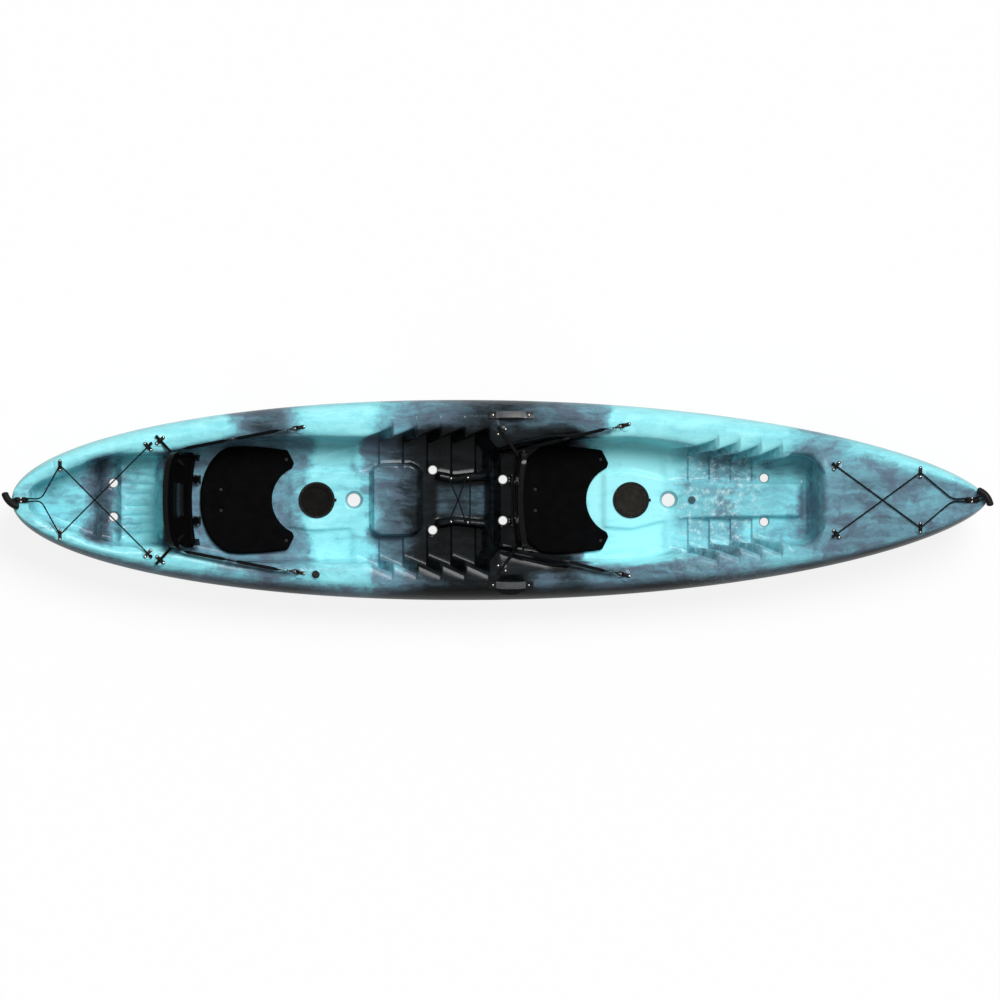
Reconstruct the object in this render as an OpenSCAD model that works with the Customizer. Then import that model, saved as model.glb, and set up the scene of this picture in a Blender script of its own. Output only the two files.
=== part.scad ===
// Sit-on-top tandem kayak: a one-piece moulded hull with two seats, round hatches,
// deck lashings, carry handles and scuppers. +X is the bow, +Y is port, +Z is up.

/* [Hull] */
// Length of the moulded hull from stern to bow
hull_length = 4090; // [3900:10:4300]
// Greatest breadth of the hull
hull_beam = 842; // [800:2:900]
// Height of the deck crest amidships
deck_height = 305; // [290:1:330]
// Extra height of the deck crest at the bow
bow_rise = 85; // [50:1:110]
// Extra height of the deck crest at the stern
stern_rise = 45; // [25:1:70]
// Rise of the keel line towards both ends
rocker = 55; // [30:1:80]
// Height of the two tunnels between the keel and the side runners
tunnel_rise = 16; // [8:1:22]
// Thickness of the moulded wall
wall = 5; // [4:0.5:7]

/* [Cockpit] */
// Place of the rear edge of the rear seat pad along the hull
rear_seat_x = -1255; // [-1275:1:-1235]
// Distance between the two seats
seat_spacing = 1317; // [1300:1:1335]
// Height of the cockpit floor
floor_height = 108; // [100:1:118]
// Height of the moulded third seat above the floor
third_seat_rise = 68; // [50:1:80]
// Height of the centre ridge between the front paddler's feet, above the floor
ridge_rise = 40; // [25:1:50]
// Depth of the foot pockets in the side walls
pocket_depth = 44; // [30:1:50]
// Height of each heel step across the foot wells
heel_step = 15; // [10:1:20]
// Height of the tank well floor
tank_floor = 152; // [140:1:165]

/* [Scuppers] */
// Radius of the small scupper tubes
scupper_r = 17; // [14:0.5:20]
// Radius of the two large scupper tubes
main_scupper_r = 27; // [22:0.5:30]
// Wall of a scupper tube
scupper_wall = 7; // [5:0.5:9]

/* [Hatches] */
// Outer radius of a hatch ring
hatch_ring_r = 76; // [74:0.5:80]
// Radius of the clear opening in a hatch ring
hatch_bore_r = 57; // [54:0.5:60]
// Thickness of a hatch ring's flange
hatch_flange = 7; // [6:0.5:9]

/* [Seats] */
// Length of a seat pad
pad_length = 396; // [386:1:404]
// Width of a seat pad
pad_width = 452; // [436:1:460]
// Thickness of a seat pad at its crown
pad_thickness = 24; // [18:1:30]
// Width of a backrest
back_width = 400; // [380:1:410]
// Height of a backrest above its hinge
back_height = 310; // [290:1:320]
// Thickness of a backrest's panel
back_panel = 12; // [9:0.5:15]
// Lean of the rear backrest back from upright
rear_lean = 26; // [22:1:30]
// Lean of the front backrest back from upright
front_lean = -7; // [-10:1:0]
// Width of the seat webbing
strap_width = 20; // [16:1:25]
// Thickness of the seat webbing
strap_thickness = 2; // [1.5:0.1:3]

/* [Rigging] */
// Diameter of the elastic deck lashing
lashing_d = 6; // [5:0.5:7]
// Length of a side carry handle
side_handle_length = 188; // [175:1:200]
// Length of an end carry toggle
toggle_length = 92; // [86:1:98]
// Diameter of an end carry toggle
toggle_d = 31; // [28:1:34]

/* [Hidden] */

// Lines of the hull
bow_x = hull_length / 2;
stern_x = -hull_length / 2;
widest_x = -165;
flat_run = 900;
plan_power = 2.06;
bow_fullness = 0.65;
stern_fullness = 0.5;
crest_share = 0.857;
tip_reach = 0.9994;

// Stations of the deck; those of the tank well and the bow deck follow the room left at each end
front_seat_x = rear_seat_x + seat_spacing;
toe_end_x = front_seat_x + 1310;
usual_stern_run = 790;
usual_bow_run = 673;
stern_run = (rear_seat_x - stern_x) / usual_stern_run;
bow_run = (bow_x - toe_end_x) / usual_bow_run;
tank_aft_x = stern_x + 70 * stern_run;
tank_step_x = stern_x + 318 * stern_run;
trough_x = stern_x + 408 * stern_run;
tank_fore_x = rear_seat_x - 185 * stern_run;
bulkhead_x = rear_seat_x - 155 * stern_run;
rear_foot_x = rear_seat_x + 750;
rear_foot_pitch = 101;
rear_sweep = 60;
front_foot_x = front_seat_x + 727;
front_foot_pitch = 89;
front_sweep = 130;
rear_risers = 5;
front_risers = 4;
riser_half = 4;
well_end_x = front_seat_x - 102;
platform_start = 385;
platform_end = 465;
hatch_offset = 489;
main_scupper_offset = 645;

function ease(a, b, x) = let (t = min(1, max(0, (x - a) / (b - a)))) t * t * (3 - 2 * t);
function mix(a, b, t) = a + (b - a) * t;
function window(a, b, c, d, x) = ease(a, b, x) * (1 - ease(c, d, x));

// Outer lines: half breadth, sheer, widest line and keel at a place along the hull
function reach(x) =
  min(tip_reach, abs(x - widest_x) / (x > widest_x ? bow_x - widest_x : widest_x - stern_x));
function fullness(x) = x > widest_x ? bow_fullness : stern_fullness;
function half_beam(x) = hull_beam / 2 * pow(max(0, 1 - pow(reach(x), plan_power)), fullness(x));
function end_rise(x) = (x > 0 ? bow_rise : stern_rise) * pow(abs(x) / bow_x, 2.2);
function crest_z(x) = deck_height + end_rise(x);
function crest_y(x) = crest_share * half_beam(x);
function beam_z(x) = crest_z(x) - mix(115, 85, abs(x) / bow_x);
function end_run(x) = max(0, (abs(x) - flat_run) / (bow_x - flat_run));
function stem_z(x) = beam_z(x) - 40 - rocker;
function keel_z(x) = rocker * pow(end_run(x), 2) + stem_z(x) * pow(end_run(x), 18);

// Foot wells: a saw of heel steps, each running up the side wall as a pocket
function saw(f, count) = f < 0 || f > count ? 0 : f - floor(f);
function rear_saw(x) = saw((x - rear_foot_x) / rear_foot_pitch + 1, rear_risers);
function front_saw(x) = saw((x - front_foot_x) / front_foot_pitch + 1, front_risers);
function foot_saw(x) = x < 0 ? rear_saw(x) : front_saw(x);
rear_foot_end = rear_foot_x + (rear_risers - 1) * rear_foot_pitch;
front_foot_end = front_foot_x + (front_risers - 1) * front_foot_pitch;
function sweep(x) =
  rear_sweep * window(rear_foot_x - 220, rear_foot_x - 60, rear_foot_end + 6, rear_foot_end + 146, x)
  + front_sweep * window(front_foot_x - 280, front_foot_x - 80, front_foot_end + 8, toe_end_x, x);
function pocket_zone(x) =
  window(rear_foot_x - rear_foot_pitch, rear_foot_x - 30, rear_foot_end + rear_sweep + 12,
    rear_foot_end + rear_sweep + 44, x)
  + window(front_foot_x - 20, front_foot_x + 30, front_foot_end + front_sweep + 12,
    front_foot_end + front_sweep + 44, x);

// Half width of the recess at its lip
recess_plan = [
  [tank_aft_x, 32], [tank_aft_x + 18, 60], [tank_aft_x + 75, 88], [tank_step_x - 16, 152],
    [tank_step_x + 16, 194],
  [bulkhead_x, 198], [rear_seat_x - 20, 226], [rear_seat_x + 150, 262],
    [rear_seat_x + platform_end, 268],
  [rear_foot_x + rear_foot_pitch, 262], [well_end_x, 258], [well_end_x + 36, 214],
  [front_seat_x - 20, 226], [front_seat_x + 150, 262], [front_seat_x + hatch_offset, 264],
  [front_foot_x - front_foot_pitch, 252], [front_foot_x, 236], [front_foot_x + front_foot_pitch, 214],
  [front_foot_x + 2 * front_foot_pitch, 202], [front_foot_x + 3 * front_foot_pitch, 188],
  [front_foot_x + 424, 176], [front_foot_x + 445, 194], [toe_end_x - 70, 190], [toe_end_x - 25, 150],
    [toe_end_x, 110]
];
function recess_open(x) = window(tank_aft_x, tank_aft_x + 40, toe_end_x - 90, toe_end_x, x);
rim_width = 40;
function recess_half(x) = min(lookup(x, recess_plan), max(0.8 * crest_y(x), crest_y(x) - rim_width));

// Floor of the recess along the hull, and where it is raised for the heel steps
trough_depth = 38;
floor_plan = [
  [tank_aft_x, tank_floor + 34], [tank_aft_x + 70, tank_floor + 24], [trough_x - 50, tank_floor + 22],
  [trough_x - 36, tank_floor - trough_depth], [trough_x + 34, tank_floor - trough_depth],
    [trough_x + 46, tank_floor],
  [tank_fore_x, tank_floor], [tank_fore_x + 20, floor_height + 108],
    [bulkhead_x + 6, floor_height + 108],
  [bulkhead_x + 30, floor_height], [well_end_x - 30, floor_height],
    [well_end_x - 10, floor_height + 62],
  [well_end_x + 14, floor_height + 62], [well_end_x + 36, floor_height],
  [front_foot_end + 90, floor_height], [toe_end_x, floor_height + 30]
];
heel_plan = [
  [rear_foot_x - rear_foot_pitch - 20, 0], [rear_foot_x - rear_foot_pitch, 1],
  [well_end_x - 30, 1], [well_end_x - 10, 0],
  [front_foot_x - front_foot_pitch - 20, 0], [front_foot_x - front_foot_pitch, 1],
  [front_foot_end + 90, 1], [toe_end_x, 0]
];
function floor_z(x) = lookup(x, floor_plan) + heel_step * (lookup(x, heel_plan) - foot_saw(x));

// Centre features: hatch platforms, third seat, centre well with its rails, front ridge
third_seat_x = rear_seat_x + 821;
third_seat_half = 103;
gutter_x = third_seat_x + third_seat_half + 32;
well_aft_x = gutter_x + 34;
function third_seat(x) = window(third_seat_x - third_seat_half - 8, third_seat_x - third_seat_half + 14,
  third_seat_x + third_seat_half - 14, third_seat_x + third_seat_half + 8, x);
function platform(x) = window(rear_seat_x + platform_start - 22, rear_seat_x + platform_start,
  third_seat_x, third_seat_x + 40, x)
  + window(front_seat_x + platform_start - 22, front_seat_x + platform_start, toe_end_x - 130,
    toe_end_x - 95, x);
function ridge(x) = window(front_foot_x - 90, front_foot_x + 120, toe_end_x - 130, toe_end_x - 95, x);
function centre_well(x) = window(well_aft_x - 10, well_aft_x + 12, well_end_x - 22, well_end_x - 8, x);
platform_rise = 14;
rail_rise = 58;
function centre_z(x) = mix(lookup(x, floor_plan), floor_height - 4, centre_well(x))
  + platform_rise * platform(x) + (third_seat_rise - platform_rise) * third_seat(x)
    + (ridge_rise - platform_rise) * ridge(x);
function rail_z(x) = mix(centre_z(x), floor_height + rail_rise, centre_well(x));
centre_plan = [
  [rear_seat_x - 20, 60], [rear_seat_x + platform_start, 84], [rear_seat_x + platform_end, 98],
  [third_seat_x - third_seat_half - 12, 86], [third_seat_x - third_seat_half + 12, 102],
  [third_seat_x - 60, 118], [third_seat_x + 60, 118], [third_seat_x + third_seat_half - 12, 102],
  [third_seat_x + third_seat_half + 8, 86], [well_aft_x - 12, 86], [well_aft_x + 13, 82],
  [well_aft_x + 75, 70], [well_end_x - 20, 84], [front_seat_x - 20, 60],
    [front_seat_x + platform_start, 84],
  [front_seat_x + hatch_offset, 92], [front_foot_x - front_foot_pitch - 20, 60], [front_foot_x, 46],
  [toe_end_x - 110, 38]
];

// One half section, from the deck centre out to the gunwale and down to the keel
lip_drop = 7;
lip_round = 10;
wall_batter = 14;
cove = 12;
centre_steps = [0, 10, 26, 36];
bottom_plan = [[0.93, 66], [0.85, 22], [0.75, 0], [0.6, 0], [0.4, tunnel_rise], [0.2, 0], [0, 0]];
function deck_crown(x) = crest_z(x) + 0.05 * half_beam(x);
function bottom_z(x, share, rise) =
  let (hull_side = beam_z(x) - keel_z(x), vee = pow(end_run(x), 1.4))
  keel_z(x) + mix(rise * hull_side / 190, 0.6 * share * hull_side, vee);
function section(s) =
  let (
    o = recess_open(s),
    sx = s + sweep(s),
    w = recess_half(sx) + pocket_depth * foot_saw(s),
    k = min(1, w / 90),
    wf = w - wall_batter * k,
    fe = wf - cove * k,
    plan = lookup(s, centre_plan),
    c = [for (i = [0:3]) min(plan + centre_steps[i], (0.4 + 0.14 * i) * fe)],
    crown = deck_crown(s),
    zf = mix(crown, floor_z(s), o),
    z0 = mix(crown, centre_z(s), o),
    z1 = mix(crown, rail_z(s), o),
    zl = mix(crown, crest_z(sx) - lip_drop, o),
    yl = w + lip_round * k,
    yc = crest_y(sx),
    zc = crest_z(sx),
    x7 = mix(s, sx, 0.7),
    x4 = mix(s, sx, 0.4),
    b = half_beam(s),
    zb = beam_z(s)
  )
  concat(
    [[s, 0, z0], [s, c[0], z0], [s, c[1], z1], [s, c[2], z1], [s, c[3], zf], [s, fe, zf]],
    [[mix(s, sx, 0.1), wf, mix(zf, zl, 0.08)], [mix(s, sx, 0.9), w - 2 * k, mix(zl, zf, 0.07)],
      [sx, yl, zl]],
    [[sx, mix(yl, yc, 0.45), mix(zl, zc, 0.7) + 2 * o], [sx, mix(yl, yc, 0.85), zc]],
    [[x7, crest_y(x7), crest_z(x7) - 4],
      [x4, mix(crest_share, 1, 0.42) * half_beam(x4), mix(crest_z(x4), beam_z(x4), 0.2)]],
    [[s, mix(crest_share, 1, 0.85) * b, mix(crest_z(s), zb, 0.6)], [s, b, zb],
      [s, 0.985 * b, mix(zb, keel_z(s), 0.35)]],
    [for (p = bottom_plan) [s, p[0] * b, bottom_z(s, p[0], p[1])]]
  );

// The hollow inside: the same lines drawn in by the wall, without steps and pockets
hollow_step = 40;
near = hollow_step + 1;
function around(x) = [x - near, x, x + near];
function hollow_section(x) =
  let (
    o = max([for (q = around(x)) recess_open(q)]),
    yc = crest_y(x) - wall,
    w = min(yc - wall, max([for (q = around(x)) recess_half(q)]) + pocket_depth * pocket_zone(x)
      + wall),
    crown = deck_crown(x) - wall - 1,
    zf = mix(crown, min([for (q = around(x)) lookup(q, floor_plan)]) - wall, o),
    z0 = mix(crown, min([for (q = around(x)) centre_z(q)]) - wall, o),
    c = min(lookup(x, centre_plan), 0.5 * w),
    zc = crest_z(x) - wall - 2,
    b = half_beam(x),
    zb = beam_z(x)
  )
  concat(
    [[x, 0, z0], [x, c - wall, z0], [x, min(c + 24, 0.8 * w), zf], [x, w, zf],
      [x, w + 2, min(zc - 16, crown)]],
    [[x, yc, zc], [x, mix(crest_share, 1, 0.42) * b - 1.2 * wall, mix(crest_z(x), zb, 0.2) - 3]],
    [[x, mix(crest_share, 1, 0.85) * b - wall, mix(crest_z(x), zb, 0.6)], [x, b - wall, zb]],
    [[x, 0.985 * b - wall, mix(zb, keel_z(x), 0.35)]],
    [for (i = [1, 2, 3, 4, 6]) let (p = bottom_plan[i])
      [x, p[0] * b - (p[0] > 0.8 ? 0.8 * wall : 0), bottom_z(x, p[0], p[1]) + wall]]
  );

// A closed skin over a row of half sections
function ring(half) = concat(half,
  [for (i = [len(half) - 2:-1:1]) [half[i][0], -half[i][1], half[i][2]]]);
module loft(halves) {
  rings = [for (h = halves) ring(h)];
  n = len(rings[0]);
  m = len(rings);
  skin = [for (j = [0:m - 2], i = [0:n - 1])
    let (a = j * n + i, b = j * n + (i + 1) % n, c = b + n, d = a + n)
    each (i < n / 2 ? [[a, b, c], [a, c, d]] : [[a, b, d], [b, c, d]])];
  aft = [[for (i = [n - 1:-1:0]) i]];
  fore = [[for (i = [0:n - 1]) (m - 1) * n + i]];
  polyhedron([for (r = rings) each r], concat(skin, aft, fore), convexity = 10);
}

function sorted(v) = len(v) < 2 ? v : let (p = v[floor(len(v) / 2)])
  concat(sorted([for (e = v) if (e < p) e]), [p], sorted([for (e = v) if (e > p) e]));
function spaced(v, gap, i = 0, last = -10 * hull_length) = i >= len(v) ? []
  : v[i] - last < gap ? spaced(v, gap, i + 1, last)
  : concat([v[i]], spaced(v, gap, i + 1, v[i]));
function clear_of(v, keep, gap) = [for (e = v) if (min([for (k = keep) abs(e - k)]) > gap) e];
function risers(start, pitch, count) =
  [for (i = [0:count - 1], e = [-riser_half, riser_half]) start + pitch * i + e];
foot_stations = concat(
  risers(rear_foot_x, rear_foot_pitch, rear_risers),
  risers(front_foot_x, front_foot_pitch, front_risers)
);
plan_stations = [for (plan = [recess_plan, floor_plan, heel_plan, centre_plan], p = plan) p[0]];
end_stations = concat(
  [for (d = [0, 9, 26, 48]) stern_x + d],
  [for (i = [1:5]) mix(toe_end_x, bow_x - 120, i / 6)],
  [for (d = [120, 66, 36, 15, 0]) bow_x - d]
);
seat_stations = [for (d = [60, 250, platform_start - 22], x = [rear_seat_x, front_seat_x]) x + d];
stations = sorted(concat(
  foot_stations,
  spaced(clear_of(sorted(concat(plan_stations, end_stations, seat_stations)), foot_stations, 16), 12)
));
hollow_stations = spaced(sorted(concat(
  [stern_x + 40], plan_stations, [for (i = [1:5]) mix(toe_end_x, bow_x - 70, i / 5)]
)), hollow_step);
module hull_skin() loft([for (s = stations) section(s)]);
module hull_hollow() loft([for (s = hollow_stations) hollow_section(s)]);

// Height and slope of the deck under a fitting
function deck_z(x, y) =
  let (h = section(x), v = abs(y), i = max([for (k = [0:12]) if (h[k][1] <= v) k]))
  mix(h[i][2], h[i + 1][2], (v - h[i][1]) / (h[i + 1][1] - h[i][1]));
slope_span = 12;
seat_rise = 1.5;
function deck_roll(x, y) = atan2(deck_z(x, y + slope_span) - deck_z(x, y - slope_span), 2 * slope_span);
function deck_pitch(x, y) = -atan2(deck_z(x + slope_span, y) - deck_z(x - slope_span, y),
  2 * slope_span);
module on_deck(place) {
  x = place[0];
  y = place[1];
  translate([x, y, deck_z(x, y) + seat_rise]) rotate([deck_roll(x, y), deck_pitch(x, y), 0])
    rotate(place[2]) children();
}
clearance = 0.3;
screw_r = 2;
screw_head_r = 3.6;
screw_head_h = 2.4;
screw_length = 14;
module screw() {
  translate([0, 0, -screw_length]) cylinder(r = screw_r, h = screw_length, $fn = 24);
  intersection() {
    cylinder(r = screw_head_r, h = screw_head_h, $fn = 32);
    translate([0, 0, screw_head_h - 6]) sphere(r = 6, $fn = 32);
  }
}
module screw_hole() translate([0, 0, -screw_length - 1])
  cylinder(r = screw_r + clearance / 2, h = screw_length + 12, $fn = 24);
module stadium(length, width) {
  square([length - width, width], center = true);
  for (side = [-1, 1]) translate([side * (length - width) / 2, 0]) circle(d = width, $fn = 48);
}

// Deck loops: small moulded eyes that carry the lashings and the seat straps
loop_base = 4;
loop_length = 50;
loop_width = 15;
loop_r = 11;
loop_bar_r = 2.5;
loop_screw_x = 19;
loop_seat_r = 25;
cord_rise = 8;
module loop_arch() translate([0, 0, loop_base - 0.5]) rotate([90, 0, 0])
  rotate_extrude(angle = 180, $fn = 48) translate([loop_r, 0]) circle(r = loop_bar_r, $fn = 24);
module deck_loop() {
  difference() {
    linear_extrude(loop_base) stadium(loop_length, loop_width);
    for (side = [-1, 1]) translate([side * loop_screw_x, 0, 0]) screw_hole();
  }
  loop_arch();
}
function both_sides(p) = [[p[0], p[1], p[2]], [p[0], -p[1], -p[2]]];

// Places of the fittings: along the hull, across it, and the turn of the eye
function rim_place(x, share, turn) = [x, share * half_beam(x), turn];
bow_aft_loop = rim_place(bow_x - 633 * bow_run, 0.5285, 53);
bow_fore_loop = rim_place(bow_x - 281 * bow_run, 0.689, 90);
stern_fore_loop = rim_place(stern_x + 572 * stern_run, 0.7333, -48);
stern_aft_loop = rim_place(stern_x + 203 * stern_run, 0.7573, 90);
bow_apex_x = bow_x - 147 * bow_run;
stern_apex_x = stern_x + 124 * stern_run;
bow_loops = concat(both_sides(bow_aft_loop), both_sides(bow_fore_loop));
stern_loops = concat(both_sides(stern_fore_loop), both_sides(stern_aft_loop));
strap_anchor_offset = 417;
rear_strap_anchor = [rear_seat_x + strap_anchor_offset, 304, 0];
front_strap_anchor = [front_seat_x + strap_anchor_offset + 47, 314, 0];
rear_aft_anchor = [rear_seat_x - 167, 250, 0];
front_aft_anchor = [front_seat_x - 52, 286, 0];

// Seats: hinge line, straps and anchors, worked out for the rear and the front seat
hinge_back = 8;
hinge_rise = 20;
hinge_y = 86;
hinge_z = floor_height + hinge_rise;
back_radius = 900;
function back_bow(y) = back_radius - sqrt(pow(back_radius, 2) - pow(y, 2))
  - (back_radius - sqrt(pow(back_radius, 2) - pow(hinge_y, 2)));
lug_y = back_width / 2 + 7;
hook_start = 5;
hook_tilt = 25;
hook_arm = 36;
eye_length = 14;
hook_rise = hook_arm * tan(hook_tilt);
hook_run = hook_start + hook_arm + eye_length - 2;
// A seat is [rear edge of its pad, lean of its backrest, front anchor, aft anchor]
rear_seat = [rear_seat_x, rear_lean, rear_strap_anchor, rear_aft_anchor];
front_seat = [front_seat_x, front_lean, front_strap_anchor, front_aft_anchor];
function hinge_x(seat) = seat[0] - hinge_back;
// A point of a backrest, given in its upright frame, as it stands leaning
function leaning(seat, x, y, z) = [
  hinge_x(seat) + x * cos(seat[1]) - z * sin(seat[1]), y, hinge_z + x * sin(seat[1]) + z * cos(seat[1])
];
function height_on_back(seat, x, z) = (z - hinge_z - x * sin(seat[1])) / cos(seat[1]);
function anchor_z(a) = deck_z(a[0], a[1]) + seat_rise;
function strap_z(seat) = anchor_z(seat[2]) + cord_rise + hook_rise;
function lug(seat) = leaning(seat, back_bow(lug_y), lug_y,
  height_on_back(seat, back_bow(lug_y), strap_z(seat)));
function strap_turn(seat) = let (p = lug(seat), a = seat[2]) atan2(p[1] - a[1], p[0] - a[0]);
slot_y = back_width / 2 - 28;
function aft_strap_z(seat) = anchor_z(seat[3]) + cord_rise;
function slot_place(seat) = leaning(seat, back_bow(slot_y), slot_y,
  height_on_back(seat, back_bow(slot_y), aft_strap_z(seat)));
function aft_turn(seat) = let (p = slot_place(seat), a = seat[3]) atan2(a[1] - p[1], a[0] - p[0]);
function front_anchors(seat) = both_sides([seat[2][0], seat[2][1], strap_turn(seat)]);
function aft_anchors(seat) = both_sides([seat[3][0], seat[3][1], aft_turn(seat) + 90]);
function seat_loops(seat) = concat(front_anchors(seat), aft_anchors(seat));
module port_or_starboard(side) if (side > 0) children(); else mirror([0, 1, 0]) children();

// Seat pad: a cut foam pad with a bevelled edge, notched round the hatch
function arc(c, r, a0, a1, n) =
  [for (i = [0:n]) let (a = mix(a0, a1, i / n)) [c[0] + r * cos(a), c[1] + r * sin(a)]];
notch_r = 148;
notch_x = pad_length + 54;
pad_half = pad_width / 2;
lobe_half = pad_half - 20;
notch_end = 180 - atan2(138, 54);
pad_side = concat(
  [for (a = [0:11.25:78.75]) [150 * (1 - cos(a)), pad_half * sin(a)]],
  [for (t = [0:0.25:1]) [mix(150, pad_length - 34, t), mix(pad_half, lobe_half + 4, t * t)]],
  [[pad_length - 24, lobe_half - 6], [pad_length - 10, lobe_half - 34],
    [pad_length - 2, lobe_half - 54]],
  arc([notch_x, 0], notch_r, notch_end, 180, 8)
);
pad_outline = concat(pad_side, [for (i = [len(pad_side) - 2:-1:1]) [pad_side[i][0], -pad_side[i][1]]]);
function unit(v) = v / norm(v);
function inset(p, d) = [for (i = [0:len(p) - 1])
  let (n = len(p), t = unit(p[(i + 1) % n] - p[(i + n - 1) % n])) p[i] + d * [t[1], -t[0]]];
// Each ring of the pad is [inset, height as a share of the crown]
pad_rings = [[5, 0], [0, 0.3], [0.5, 0.55], [5, 0.85], [12, 1]];
rivet_places = [[88, 44], [88, -44], [pad_length - 34, 170], [pad_length - 34, -170]];
rivet_r = 3;
rivet_head_r = 8;
rivet_head_h = 3;
pad_bed = 2;
module seat_pad(seat) {
  n = len(pad_outline);
  m = len(pad_rings);
  points = [for (r = pad_rings, p = inset(pad_outline, r[0])) [p[0], p[1], r[1] * pad_thickness]];
  sides = [for (j = [0:m - 2], i = [0:n - 1]) let (a = j * n + i, b = j * n + (i + 1) % n)
    each [[a, b, b + n], [a, b + n, a + n]]];
  caps = [[for (i = [n - 1:-1:0]) i], [for (i = [0:n - 1]) (m - 1) * n + i]];
  translate([seat[0], 0, floor_height]) polyhedron(points, concat(sides, caps), convexity = 6);
}
module pad_rivets(seat) for (p = rivet_places)
  translate([seat[0] + p[0], p[1], floor_height + pad_thickness - pad_bed - rivet_head_h]) {
  cylinder(r1 = rivet_head_r, r2 = rivet_head_r - 2, h = rivet_head_h, $fn = 32);
  translate([0, 0, -pad_thickness - 2]) cylinder(r = rivet_r, h = pad_thickness + 2, $fn = 24);
}

// Backrest: a moulded panel bent to the paddler's back, on two hinged and two free legs
back_rim = 14;
rim_proud = 5;
leg_width = 22;
leg_top = 96;
panel_foot = 72;
back_corner = 52;
window_low = 150;
window_high = 216;
window_width = 142;
knuckle_r = 9;
pin_r = 4;
ear_thick = 6;
function rounded(width, low, high, r) = let (w = width / 2 - r) concat(
  arc([w, low + r], r, -90, 0, 6), arc([w, high - r], r, 0, 90, 6), arc([-w, high - r], r, 90, 180, 6),
    arc([-w, low + r], r, 180, 270, 6)
);
module bent(thick) translate([back_bow(0) + back_radius, 0, -30]) difference() {
  cylinder(r = back_radius + thick / 2, h = back_height + 60, $fn = 200);
  translate([0, 0, -1]) cylinder(r = back_radius - thick / 2, h = back_height + 62, $fn = 200);
}
module pressed(thick) intersection() {
  bent(thick);
  translate([-60, 0, 0]) rotate([90, 0, 90]) linear_extrude(160) children();
}
module back_window() polygon(rounded(window_width, window_low, window_high, 14));
module backrest(seat) {
  translate([hinge_x(seat), 0, hinge_z]) rotate([0, -seat[1], 0]) difference() {
    union() {
      pressed(back_panel) difference() {
        polygon(rounded(back_width, panel_foot, back_height, back_corner));
        back_window();
      }
      pressed(back_panel + 2 * rim_proud) difference() {
        polygon(rounded(back_width, panel_foot, back_height, back_corner));
        polygon(rounded(back_width - 2 * back_rim, panel_foot + back_rim, back_height - back_rim,
          back_corner - back_rim));
      }
      pressed(back_panel + rim_proud) difference() {
        polygon(rounded(window_width + back_rim, window_low - back_rim / 2, window_high + back_rim / 2,
          20));
        back_window();
      }
      for (side = [-1, 1]) {
        pressed(back_panel) translate([side * hinge_y - leg_width / 2, 0]) square([leg_width, leg_top]);
        pressed(back_panel) translate([side * (back_width / 2 - 24) - 14, 24]) square([28, leg_top]);
        translate([0, side * hinge_y, 0]) rotate([90, 0, 0])
          cylinder(r = knuckle_r, h = leg_width, center = true, $fn = 48);
      }
      port_or_starboard(1) strap_lug(seat);
      port_or_starboard(-1) strap_lug(seat);
    }
    for (side = [-1, 1]) {
      translate([0, side * hinge_y, 0]) rotate([90, 0, 0])
        cylinder(r = pin_r + clearance / 2, h = leg_width + 2, center = true, $fn = 36);
      port_or_starboard(side) aft_slot(seat);
    }
  }
}
// The strap lug is an upright bar between two ears on the wing of the backrest
lug_gap = strap_width + 2;
lug_bar_r = 2.5;
module strap_lug(seat) {
  z = height_on_back(seat, back_bow(lug_y), strap_z(seat));
  translate([back_bow(lug_y), lug_y, z]) rotate([0, seat[1], 0]) {
    cylinder(r = lug_bar_r, h = lug_gap + 4, center = true, $fn = 24);
    for (end = [-1, 1]) translate([0, 0, end * (lug_gap / 2 + 2)]) {
      cylinder(r = 5, h = 4, center = true, $fn = 32);
      translate([0, -9, 0]) cube([10, 18, 4], center = true);
    }
  }
}
aft_strap_width = 12;
// How far a stay runs on past its slot, to clear the panel that it crosses at a slant
function stay_tail(seat) = (back_panel + aft_strap_width + 4)
  / 2 / sin(aft_turn(seat) - 90 + asin(slot_y / back_radius));
module aft_slot(seat) {
  z = height_on_back(seat, back_bow(slot_y), aft_strap_z(seat));
  translate([back_bow(slot_y), slot_y, z]) rotate([0, seat[1], 0]) rotate(aft_turn(seat))
    cube([2 * stay_tail(seat) + 20, aft_strap_width + 1.2, strap_thickness + 1.4], center = true);
}

// Hinge brackets on the floor, with their pins
bracket_base = 4;
bracket_length = 40;
module hinge_brackets(seat) for (side = [-1, 1])
  translate([hinge_x(seat), side * hinge_y, floor_height]) difference() {
  width = leg_width + 2 * ear_thick + 4 * clearance;
  union() {
    translate([-bracket_length / 2, -width / 2, 0]) cube([bracket_length - 8, width, bracket_base]);
    for (ear = [-1, 1]) translate([0, ear * (width - ear_thick) / 2, 0]) rotate([90, 0, 0])
      linear_extrude(ear_thick, center = true) {
        translate([0, hinge_rise]) circle(r = knuckle_r, $fn = 48);
        polygon([[-16, 0], [10, 0], [knuckle_r, hinge_rise], [-knuckle_r, hinge_rise]]);
      }
  }
  translate([0, 0, hinge_rise]) rotate([90, 0, 0])
    cylinder(r = pin_r + clearance / 2, h = width + 2, center = true, $fn = 36);
  for (ear = [-1, 1]) translate([-12, ear * 6, bracket_base]) screw_hole();
}
module bracket_fasteners(seat) for (side = [-1, 1], ear = [-1, 1])
  translate([hinge_x(seat) - 12, side * hinge_y + ear * 6, floor_height + bracket_base]) children();
module hinge_pins(seat) for (side = [-1, 1]) translate([hinge_x(seat), side * hinge_y, hinge_z])
  rotate([90, 0, 0]) {
  length = leg_width + 2 * ear_thick + 4 * clearance;
  cylinder(r = pin_r, h = length, center = true, $fn = 36);
  for (end = [-1, 1]) translate([0, 0, end * (length / 2 + 1)])
    cylinder(r = pin_r + 2, h = 2, center = true, $fn = 36);
}

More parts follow.
